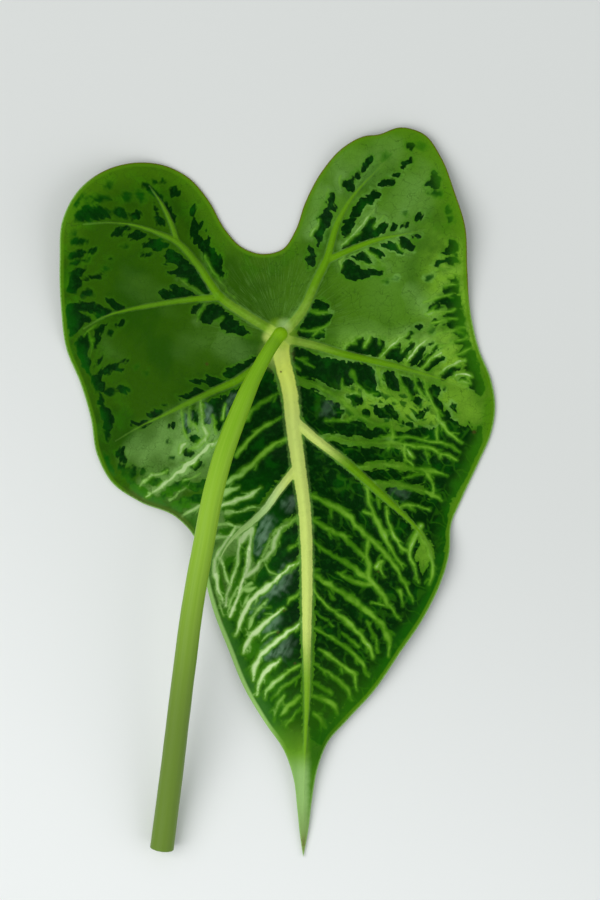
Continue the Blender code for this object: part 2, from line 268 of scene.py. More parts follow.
# Paleness, from 0 (leaf green) to 1 (nearly white), then the route: a place and the half width there.
PALE_VEINS = [
    # Small webs left of the midrib, between its long pale veins.
    (0.3, [(243, 588, 2), (249, 589, 3), (256, 586, 1.4)]),
    (0.35, [(249, 619, 1.2), (257, 611, 2), (267, 602, 1)]),
    (0.3, [(240, 612, 1), (246, 600, 2.2), (250, 592, 1.4)]),
    (0.4, [(228, 611, 1), (232, 598, 1.6), (238, 586, 1.2)]),
    (0.3, [(262, 640, 1), (268, 634, 1.8), (276, 630, 1)]),
    (0.25, [(264, 560, 1), (270, 571, 1.6), (280, 574, 1)]),
    (0.3, [(246, 628, 1.4), (250, 640, 1.2), (249, 652, 1)]),
    (0.45, [(216, 590, 1), (220, 604, 1.6), (224, 616, 1)]),
    # Teeth of the ground that reach into the right margin's dark.
    (0.3, [(423, 303, 2.6), (436, 298, 2), (452, 294, 0.8)]),
    (0.35, [(427, 314, 2.8), (440, 312, 2), (456, 310, 0.8)]),
    (0.3, [(430, 324, 2.6), (442, 321, 2), (457, 318, 0.8)]),
    (0.35, [(437, 334, 2.6), (450, 331, 2), (467, 327, 0.8)]),
    (0.3, [(440, 347, 2.6), (454, 342, 2), (469, 337, 0.8)]),
    (0.3, [(452, 357, 2.4), (463, 352, 1.8), (473, 347, 0.8)]),
    (0.25, [(444, 287, 1.8), (450, 285, 1.4), (458, 285, 0.6)]),
    (0.25, [(434, 271, 1.8), (446, 270, 1.4), (457, 270, 0.6)]),
    # Right of the midrib, from the last fork to the tip.
    (0.15, [(305, 494, 2.5), (316, 497, 3), (326, 502, 3.5), (338, 508, 4.5), (348, 515, 4),
        (356, 525, 4), (365, 534, 4), (375, 543, 3.5), (386, 555, 3.5), (394, 565, 3), (401, 577, 2.6),
        (409, 593, 2), (412, 602, 0.6)]),
    (0.08, [(311, 518, 1.4), (321, 524, 2.2), (334, 532, 3.2), (343, 535, 3.6), (350, 543, 2.6),
        (359, 551, 2.6), (367, 559, 3)]),
    (0.05, [(309, 537, 2), (319, 545, 2), (330, 553, 2.6), (343, 560, 3.6), (352, 566, 4.2),
        (359, 572, 4.4), (367, 577, 4.6)]),
    (0.08, [(336, 571, 1), (342, 574, 2.4), (351, 579, 2.8), (361, 583, 3), (371, 584, 3)]),
    (0.15, [(369, 536, 2), (367, 545, 2.8), (366, 556, 3.2), (369, 566, 3.4), (368, 576, 4.4),
        (374, 584, 4), (381, 592, 3.6), (387, 602, 2.8), (393, 610, 2), (400, 620, 0.6)]),
    (0.1, [(309, 569, 3), (318, 576, 3.6), (328, 583, 4.2), (340, 590, 4.6), (351, 598, 4.8),
        (362, 606, 5), (371, 614, 5), (380, 622, 4.4), (386, 632, 4), (389, 644, 3.6), (388, 655, 2)]),
    (0.3, [(310, 583, 3), (318, 595, 2.2), (328, 606, 1.8), (338, 614, 1.6), (346, 620, 3), (354, 628, 3),
        (362, 636, 2.6), (368, 645, 3.6), (373, 656, 3)]),
    (0.08, [(309, 624, 3), (320, 630, 2.6), (331, 636, 2.4), (341, 643, 2.8), (349, 649, 3.4),
        (356, 656, 4), (363, 664, 3), (368, 676, 1.6)]),
    (0.25, [(320, 648, 1.4), (328, 654, 3), (337, 661, 2.6), (345, 667, 2.8), (353, 673, 3.4),
        (356, 682, 2), (357, 690, 0.8)]),
    (0.08, [(312, 662, 1.6), (324, 669, 2), (335, 677, 2.6), (343, 684, 2.8), (349, 692, 2.2),
        (352, 700, 0.8)]),
    (0.1, [(311, 694, 2), (320, 697, 3), (328, 700, 4.4), (334, 705, 4.2), (338, 713, 2)]),
    (0.12, [(314, 712, 2), (321, 718, 3), (326, 727, 2)]),
    (0.05, [(310, 680, 1.2), (320, 685, 1.8), (331, 692, 2)]),
    (0.05, [(311, 608, 1.2), (322, 616, 1.2), (333, 625, 1.2)]), (0.05, [(328, 590, 0.8), (333, 598, 1)]),
    (0.05, [(342, 632, 0.8), (351, 640, 1.6), (359, 646, 2)]),
    (0.08, [(366, 620, 1), (371, 630, 1.4), (376, 641, 1.8), (378, 652, 1.4)]),
    (0.2, [(371, 602, 1.2), (381, 604, 1.4), (390, 605, 1)]),
    (0.35, [(376, 566, 4), (382, 560, 1.6), (380, 570, 1.4), (385, 576, 0.8)]),
    (0.15, [(399, 590, 2.4), (402, 598, 2), (403, 606, 0.8)]), (0.1, [(331, 508, 1), (331, 516, 1.2)]),
    (0.25, [(366, 488, 3), (368, 498, 2.4), (371, 509, 2.4), (376, 519, 3.2), (381, 529, 3.6),
        (386, 539, 3.4), (391, 549, 2.4), (398, 560, 1.6), (403, 568, 0.8)]),
    (0.25, [(364, 511, 1), (371, 514, 1.8)]),
    (0.3, [(386, 506, 1.4), (387, 518, 1.6), (391, 530, 2.4), (396, 540, 2.4), (402, 548, 2.4),
        (409, 553, 2)]),
    (0.35, [(420, 526, 4), (414, 536, 4), (410, 545, 3.2), (409, 553, 3), (412, 562, 2.4),
        (415, 571, 1.8), (418, 582, 0.8)]),
    (0.25, [(419, 534, 2.4), (426, 547, 3), (431, 560, 3), (432, 572, 2.4), (429, 584, 1.2)]),
    (0.15, [(378, 500, 4), (379, 507, 1.5)]),
    # Left of the midrib, from the last fork to the tip.
    (0.6, [(302, 516, 1.4), (294, 519, 2), (286, 525, 2), (279, 531, 2.8), (275, 540, 3), (272, 550, 3),
        (266, 557, 2.6), (259, 564, 2.8), (253, 571, 4), (247, 574, 4)]),
    (0.25, [(276, 529, 2), (270, 539, 2), (267, 549, 2.4), (262, 556, 2)]),
    (0.85, [(252, 528, 2.6), (251, 540, 2.4), (249, 552, 3), (249, 564, 3), (245, 575, 3),
        (241, 586, 2.6), (238, 596, 2.6), (234, 607, 3), (230, 616, 2.4)]),
    (0.7, [(240, 538, 3), (239, 550, 2.2), (238, 560, 2), (235, 571, 2), (231, 582, 2.4), (228, 593, 3),
        (226, 605, 2.4)]),
    (0.7, [(221, 556, 2.4), (223, 565, 2), (226, 574, 2), (229, 583, 2)]),
    (0.6, [(215, 560, 3), (216, 575, 3.4), (219, 590, 3), (223, 602, 2)]),
    (0.8, [(301, 559, 1.4), (292, 565, 2.2), (283, 572, 3), (273, 581, 3), (264, 589, 3.2),
        (255, 596, 3.8), (248, 605, 4), (243, 615, 3.6), (239, 626, 2.8), (236, 636, 1.4)]),
    (0.3, [(268, 599, 1.2), (261, 605, 2.6), (255, 612, 2.6), (251, 620, 3), (249, 628, 1.6)]),
    (0.75, [(284, 607, 1.6), (276, 613, 2.8), (268, 619, 3.2), (260, 627, 3.4), (252, 636, 3.2),
        (246, 646, 2.6), (244, 653, 1)]),
    (0.85, [(303, 621, 1.6), (293, 627, 2.2), (284, 634, 2.6), (274, 642, 3), (265, 650, 2.8),
        (258, 659, 2.6), (254, 669, 2.4), (253, 680, 1.6)]),
    (0.85, [(280, 658, 1.8), (275, 662, 3), (268, 668, 3), (262, 677, 2.4), (258, 687, 2),
        (256, 695, 0.8)]),
    (0.4, [(300, 663, 1.4), (292, 668, 2.2), (284, 674, 2.8), (276, 680, 3), (269, 687, 2.4),
        (265, 697, 1.4)]),
    (0.08, [(300, 674, 1.4), (290, 681, 2), (280, 689, 2.4), (272, 698, 2)]),
    (0.2, [(300, 694, 2), (293, 701, 3), (286, 708, 3), (281, 715, 1.6)]),
    (0.2, [(284, 694, 2), (279, 701, 2.4), (275, 710, 2.2), (274, 720, 1.4)]),
    (0.12, [(301, 707, 2), (293, 715, 2.4), (286, 724, 2.4)]),
    (0.3, [(300, 591, 1), (293, 596, 2), (288, 602, 1)]),
    (0.2, [(300, 541, 1), (293, 545, 1.8), (289, 549, 1)]),
    (0.15, [(252, 582, 3), (245, 588, 4), (241, 594, 2)]),
    # Beside the lowest left rib, and between it and the one above.
    (0.85, [(252, 529, 3.4), (245, 536, 4), (240, 543, 2)]),
    (0.6, [(236, 528, 2), (229, 538, 2.8), (221, 549, 3.4), (214, 560, 3)]),
    (0.4, [(262, 508, 1.4), (254, 507, 2.2), (245, 509, 1.8), (236, 512, 2), (226, 512, 2.6)]),
    (0.5, [(261, 487, 1), (254, 493, 2.8), (246, 497, 3.6), (237, 500, 4.2), (228, 503, 4), (216, 507, 3)]),
    (0.25, [(240, 487, 1), (232, 489, 4), (224, 494, 4)]),
    (0.45, [(245, 527, 3), (236, 526, 2.4), (226, 524, 2.4), (215, 523, 2)]),
    (0.5, [(238, 536, 3), (228, 536, 2.2), (216, 537, 2)]),
    (0.1, [(279, 393, 1.2), (270, 398, 2), (262, 403, 2.6), (254, 409, 3.4), (247, 417, 4), (240, 424, 4)]),
    (0.2, [(283, 417, 1.2), (274, 421, 2), (264, 427, 2.6), (256, 433, 3), (249, 440, 3.6),
        (243, 447, 3.2), (236, 455, 3)]),
    (0.25, [(289, 439, 2), (279, 442, 2.4), (270, 448, 3), (262, 455, 3.4), (254, 463, 4),
        (245, 470, 4.6), (236, 477, 4.6), (226, 483, 4)]),
    # The long bright vein of the lower left, and those round it.
    (0.4, [(229, 434, 4), (220, 440, 4), (212, 446, 4)]),
    (0.95, [(219, 441, 1.6), (212, 444, 2.8), (205, 450, 3), (197, 458, 3.4), (189, 464, 3.8),
        (182, 470, 3.4), (175, 476, 2.8), (167, 482, 2.4), (159, 488, 2.4), (151, 494, 1.4),
        (146, 497, 0.8)]),
    (0.5, [(168, 470, 1), (160, 474, 2.4), (151, 476, 2), (144, 481, 2), (140, 486, 1)]),
    (0.55, [(203, 505, 2.4), (194, 509, 3), (186, 514, 2), (180, 518, 1)]),
    (0.6, [(185, 443, 2.4), (181, 448, 3), (179, 454, 2.4)]),
    (0.35, [(208, 434, 4), (200, 444, 4), (190, 450, 2)]),
    (0.3, [(182, 404, 1.4), (182, 418, 1.6), (184, 430, 1.8), (187, 438, 2)]),
    (0.35, [(190, 403, 1.4), (189, 412, 1.4), (192, 423, 1.4), (198, 430, 2)]),
    (0.5, [(201, 400, 2), (201, 411, 2.2), (203, 423, 2.4), (206, 433, 3), (206, 441, 3)]),
    (0.35, [(213, 416, 0.8), (214, 425, 1.6), (216, 434, 2.4)]),
    (0.45, [(226, 404, 1), (224, 411, 1.8), (223, 419, 1.6)]),
    (0.3, [(187, 487, 1), (179, 493, 2), (170, 500, 2.4)]),
    (0.2, [(200, 474, 2), (192, 478, 2.4), (183, 481, 2)]),
    # Between the two right ribs, and outside the lower one.
    (0.08, [(295, 379, 2), (304, 381, 1.8), (313, 384, 2.4), (322, 388, 3), (331, 394, 3.6),
        (340, 398, 4.6), (348, 406, 5), (356, 414, 5.4), (366, 420, 4.4), (378, 424, 4), (392, 426, 3)]),
    (0.2, [(326, 420, 1), (338, 421, 1.4), (348, 419, 2), (356, 416, 2.4)]),
    (0.1, [(352, 372, 2.6), (354, 379, 2), (359, 387, 2), (366, 394, 2.6), (375, 400, 3)]),
    (0.1, [(342, 379, 1), (344, 388, 3), (352, 391, 3.4), (360, 394, 2)]),
    (0.15, [(376, 362, 2), (378, 372, 2.6), (382, 384, 2.8), (389, 394, 3.4), (397, 402, 3.4)]),
    (0.3, [(380, 368, 1), (381, 382, 1.4), (388, 391, 1.2)]),
    (0.2, [(397, 371, 1.4), (401, 382, 1.6), (406, 391, 1.8), (412, 398, 1.2)]),
    (0.25, [(413, 375, 1.2), (416, 385, 1.2), (421, 393, 1.4), (427, 399, 1.6)]),
    (0.35, [(424, 379, 1.2), (426, 390, 1.4), (431, 401, 2), (436, 411, 2.4), (440, 421, 2.6),
        (446, 430, 2.6), (454, 437, 2), (462, 443, 0.8)]),
    (0.2, [(438, 423, 1.2), (437, 432, 1.2), (437, 441, 1.2)]), (0.5, [(318, 437, 2.4), (323, 438, 2.4)]),
    (0.12, [(322, 437, 1.4), (334, 438, 2.2), (350, 441, 2), (368, 443, 2.4), (386, 443, 3),
        (402, 444, 3), (416, 446, 2.4)]),
    (0.25, [(412, 446, 2.4), (424, 447, 2.6), (434, 450, 2.8), (442, 454, 2.4), (450, 456, 3),
        (456, 460, 1.6)]),
    (0.15, [(382, 437, 0.8), (396, 437, 1.4), (410, 437, 1.6), (422, 440, 2), (434, 442, 2),
        (445, 444, 2), (453, 447, 2.4), (459, 452, 1)]),
    (0.15, [(387, 450, 1), (391, 441, 2), (393, 431, 2.6), (391, 422, 2.4)]),
    (0.35, [(405, 443, 1.6), (404, 452, 2), (407, 460, 1.6), (413, 465, 2)]),
    (0.45, [(407, 450, 1.4), (410, 454, 2.4), (413, 458, 1.8)]),
    (0.35, [(354, 471, 3), (359, 468, 2.6), (368, 465, 2)]),
    (0.12, [(366, 465, 2), (380, 464, 2.2), (394, 465, 2.8), (408, 468, 3), (420, 469, 3), (431, 471, 3),
        (440, 473, 2.4), (447, 476, 0.8)]),
    (0.2, [(427, 470, 2), (429, 478, 2.8), (432, 484, 2), (434, 488, 0.8)]),
    (0.1, [(403, 478, 0.8), (412, 476, 1.4), (424, 474, 2)]),
    (0.12, [(370, 483, 3), (382, 483, 2.4), (395, 484, 2.4), (408, 487, 2.8), (419, 490, 3.4),
        (429, 493, 3.8), (437, 497, 2.6), (443, 500, 0.8)]),
    (0.2, [(432, 496, 3), (434, 490, 1.8), (434, 484, 0.8)]),
    (0.3, [(397, 509, 2.6), (402, 505, 2), (411, 505, 1.4), (420, 507, 1.4), (429, 510, 0.8)]),
    (0.15, [(425, 446, 1), (426, 455, 1), (429, 464, 1)]), (0.4, [(440, 451, 1), (440, 459, 0.8)]),
    (0.08, [(296, 358, 1), (303, 361, 1.2), (310, 365, 1.6), (313, 367, 0.8)]),
    (0.15, [(295, 366, 1.2), (300, 370, 0.8)]),
    # Over the upper right rib.
    (0.75, [(381, 357, 1.6), (387, 350, 1.8), (393, 344, 2), (400, 339, 1.6), (408, 332, 0.8)]),
    (0.5, [(402, 352, 0.8), (406, 345, 1.4), (413, 339, 1.6)]),
    (0.95, [(406, 362, 1.2), (411, 356, 1.8), (416, 349, 2), (421, 344, 2), (427, 340, 1.4)]),
    (0.3, [(424, 358, 0.8), (430, 350, 1.2), (438, 342, 1.8)]),
    (0.7, [(422, 369, 1), (428, 362, 1.6), (434, 357, 2), (441, 353, 2)]),
    (0.7, [(439, 375, 1.2), (443, 370, 1.8), (449, 366, 2), (456, 363, 2.4), (464, 361, 2.4)]),
    (0.75, [(452, 379, 1), (457, 375, 2), (464, 374, 2.2), (471, 376, 1)]),
    (0.5, [(457, 382, 0.8), (464, 382, 1.4), (470, 384, 0.8)]),
    (0.75, [(344, 350, 1.4), (347, 345, 1.8), (353, 341, 1.4), (360, 337, 1)]),
    (0.6, [(365, 347, 1), (367, 342, 1.4), (370, 336, 1.4)]), (0.15, [(380, 344, 1.4), (380, 337, 2)]),
    # The right lobe.
    (0.7, [(341, 246, 1.4), (348, 240, 1.6), (355, 233, 1.8), (362, 225, 1.8), (368, 217, 1.6),
        (374, 210, 1)]),
    (0.4, [(374, 227, 1), (379, 221, 1.6), (384, 216, 1.4)]),
    (0.15, [(357, 262, 1), (364, 265, 1.6), (374, 267, 2), (384, 268, 1)]),
    (0.35, [(365, 250, 1), (372, 256, 1.2), (380, 262, 1), (388, 268, 0.8)]),
    (0.35, [(396, 242, 1), (401, 249, 1.4), (408, 254, 1)]),
    (0.15, [(308, 310, 1), (316, 313, 1.6), (324, 313, 1.6), (331, 311, 1)]),
    (0.12, [(300, 330, 1), (309, 331, 1.4), (317, 330, 2), (325, 327, 2), (331, 323, 1)]),
    (0.15, [(313, 336, 1.2), (318, 331, 1.8)]), (0.5, [(310, 235, 2), (315, 228, 1.6), (318, 221, 1)]),
    (0.4, [(327, 196, 1.2), (329, 190, 1.6)]), (0.5, [(340, 190, 0.8), (339, 183, 1.4), (341, 176, 1)]),
    (0.45, [(341, 268, 1), (340, 262, 2), (344, 257, 1.4)]),
    # The left lobe, and the web of the notch.
    (0.25, [(180, 279, 1), (186, 284, 1.6), (194, 289, 1.8), (203, 295, 2)]),
    (0.4, [(197, 322, 1), (199, 314, 1.6), (202, 308, 1.4), (206, 304, 1)]),
    (0.2, [(221, 318, 1.4), (216, 322, 1.4)]), (0.12, [(84, 336, 1), (90, 330, 2), (97, 325, 2)]),
    (0.12, [(91, 334, 1.4), (92, 345, 1.6), (91, 356, 1.4)]),
    (0.8, [(301, 306, 0.8), (297, 312, 1), (292, 318, 1.4), (287, 323, 1.6)]),
    (0.35, [(205, 256, 1.4), (209, 265, 1.2), (214, 274, 1), (222, 284, 1), (232, 296, 1), (244, 309, 1),
        (256, 320, 1)]),
]


def on_leaf(x, y):
    """A place on the drawing grid, which counts down from its upper left corner, in leaf millimetres."""
    return (x - JOINT_ON_GRID[0]) * GRID, (JOINT_ON_GRID[1] - y) * GRID


VEIN_LINE_STEP = 0.5
# What green and pale veins keep of their drawn width, and how that changes along a vein.
SLIM_GREEN, SLIM_PALE = 0.6, 0.76
WIDTH_CHANGE = (0.78, 1.15)
# The twigs, in mm and degrees: from the shortest vein that has any, to the half widths along a twig.
THORNLESS_LENGTH = 4.0
THORN_START = (0.6, 1.6)
THORN_SPACING = (1.2, 3.6)
THORN_LENGTH = (0.15, 1.3)
THORN_TURN = (35.0, 65.0)
THORN_MIDDLE, THORN_BEND = 0.55, 0.3
THORN_HALF_WIDTHS = (0.26, 0.17, 0.02)
TWIG_PALENESS = 0.45
luck = np.random.default_rng(5)


def thorns_of(line, spread):
    """Short twigs on alternate sides of a vein, which lean the way it grows; the spread thins them out."""
    along = lengths_along(line[:, :2])
    at, side, twigs = luck.uniform(*THORN_START), 1, []
    while along[-1] > THORNLESS_LENGTH and at < along[-1] - VEIN_LINE_STEP:
        i = np.searchsorted(along, at) - 1
        ahead = line[i + 1, :2] - line[i, :2]
        turn = math.atan2(ahead[1], ahead[0]) + side * math.radians(luck.uniform(*THORN_TURN))
        reach = luck.uniform(*THORN_LENGTH) + line[i, 2]
        way = np.array([math.cos(turn), math.sin(turn)])
        bend = ahead / np.linalg.norm(ahead) * reach * THORN_BEND
        middle, end = line[i, :2] + way * reach * THORN_MIDDLE, line[i, :2] + way * reach + bend
        twigs.append(np.column_stack([[line[i, :2], middle, end], THORN_HALF_WIDTHS]))
        at, side = at + luck.uniform(*THORN_SPACING) * spread, -side
    return twigs


pale_lines, pale_tones = [], []
for tone, route in PALE_VEINS:
    slimming = SLIM_GREEN + (SLIM_PALE - SLIM_GREEN) * min(tone / 0.5, 1.0)
    knots = [(*on_leaf(x, y), half * GRID * slimming) for x, y, half in route]
    line = smooth_line(knots, VEIN_LINE_STEP)
    line[:, 2] *= np.repeat(luck.uniform(*WIDTH_CHANGE, len(line) // 3 + 1), 3)[:len(line)]
    # The paler a vein, the closer its twigs.
    twigs = thorns_of(line, 1.9 - min(tone, 0.6) * 1.5)
    pale_lines += [line, *twigs]
    pale_tones += [tone] + [tone * TWIG_PALENESS] * len(twigs)
pale_tones = np.array(pale_tones)
print("pale veins", len(PALE_VEINS), "and twigs", len(pale_lines) - len(PALE_VEINS))

# %% Growing the fine veins
MARGIN_CLEARANCE = 1.6
VEIN_STEP = 0.3
FINE_SPACING = 1.55
FINE_ANGLE = 60.0
FINE_BEND = 0.7
FINE_REACH = 16.0
FINE_FREE_START = 1.5
FIRST_AT, START_CHANGE, LAST_ROOM = 3.0, 0.8, 0.5
ANGLE_CHANGE = 8
FEWEST_POINTS = 6
SWAY, SWAY_KEPT = 2.4, 0.86
rng = np.random.default_rng(11)


def walk(start, heading, bend, own):
    """Grows a vein from its start: the points that it passes until its full reach or what stops it."""
    path = [np.array(start, float)]
    sway = 0.0
    for i in range(int(FINE_REACH / VEIN_STEP)):
        sway = SWAY_KEPT * sway + rng.normal(0, SWAY)
        heading += math.radians(bend * VEIN_STEP + 0.5 * sway * VEIN_STEP)
        place = path[-1] + VEIN_STEP * np.array([math.cos(heading), math.sin(heading)])
        key = (place[0], place[1], 0.0)
        strayed = i * VEIN_STEP > FINE_FREE_START and rib_owner[rib_tree.find(key)[1]] != own
        if strayed or margin_tree.find(key)[2] < MARGIN_CLEARANCE:
            break
        path.append(place)
    return np.array(path)


fine_lines = []
for own, line in enumerate(rib_lines):
    along = lengths_along(line)
    for side in (1, -1):
        starts = np.arange(FIRST_AT, along[-1] - LAST_ROOM, FINE_SPACING) + rng.uniform(0, START_CHANGE)
        for start in starts:
            i = np.searchsorted(along, start) - 1
            ahead = line[i + 1] - line[i]
            turn = math.radians(FINE_ANGLE + rng.uniform(-ANGLE_CHANGE, ANGLE_CHANGE)) * side
            path = walk(line[i], math.atan2(ahead[1], ahead[0]) + turn, -FINE_BEND * side, own)
            if len(path) >= FEWEST_POINTS:
                fine_lines.append(path)
fine_tree = tree_of(np.concatenate(fine_lines))
print("fine veins", len(fine_lines))

# %% [markdown]
# What each point of the blade knows.
# The tattoo is near-black green: toothed islands beside the ribs, and nearly all of the lower half. Each
# island is an outline on the drawing grid. What a point stores is how deep inside an island it is, not a
# colour, so the shader can sharpen, fray and tint the edge. Painting a picture would look right from one
# distance only. The sheen and the bleached ground are broad soft strokes, kept in the same way.

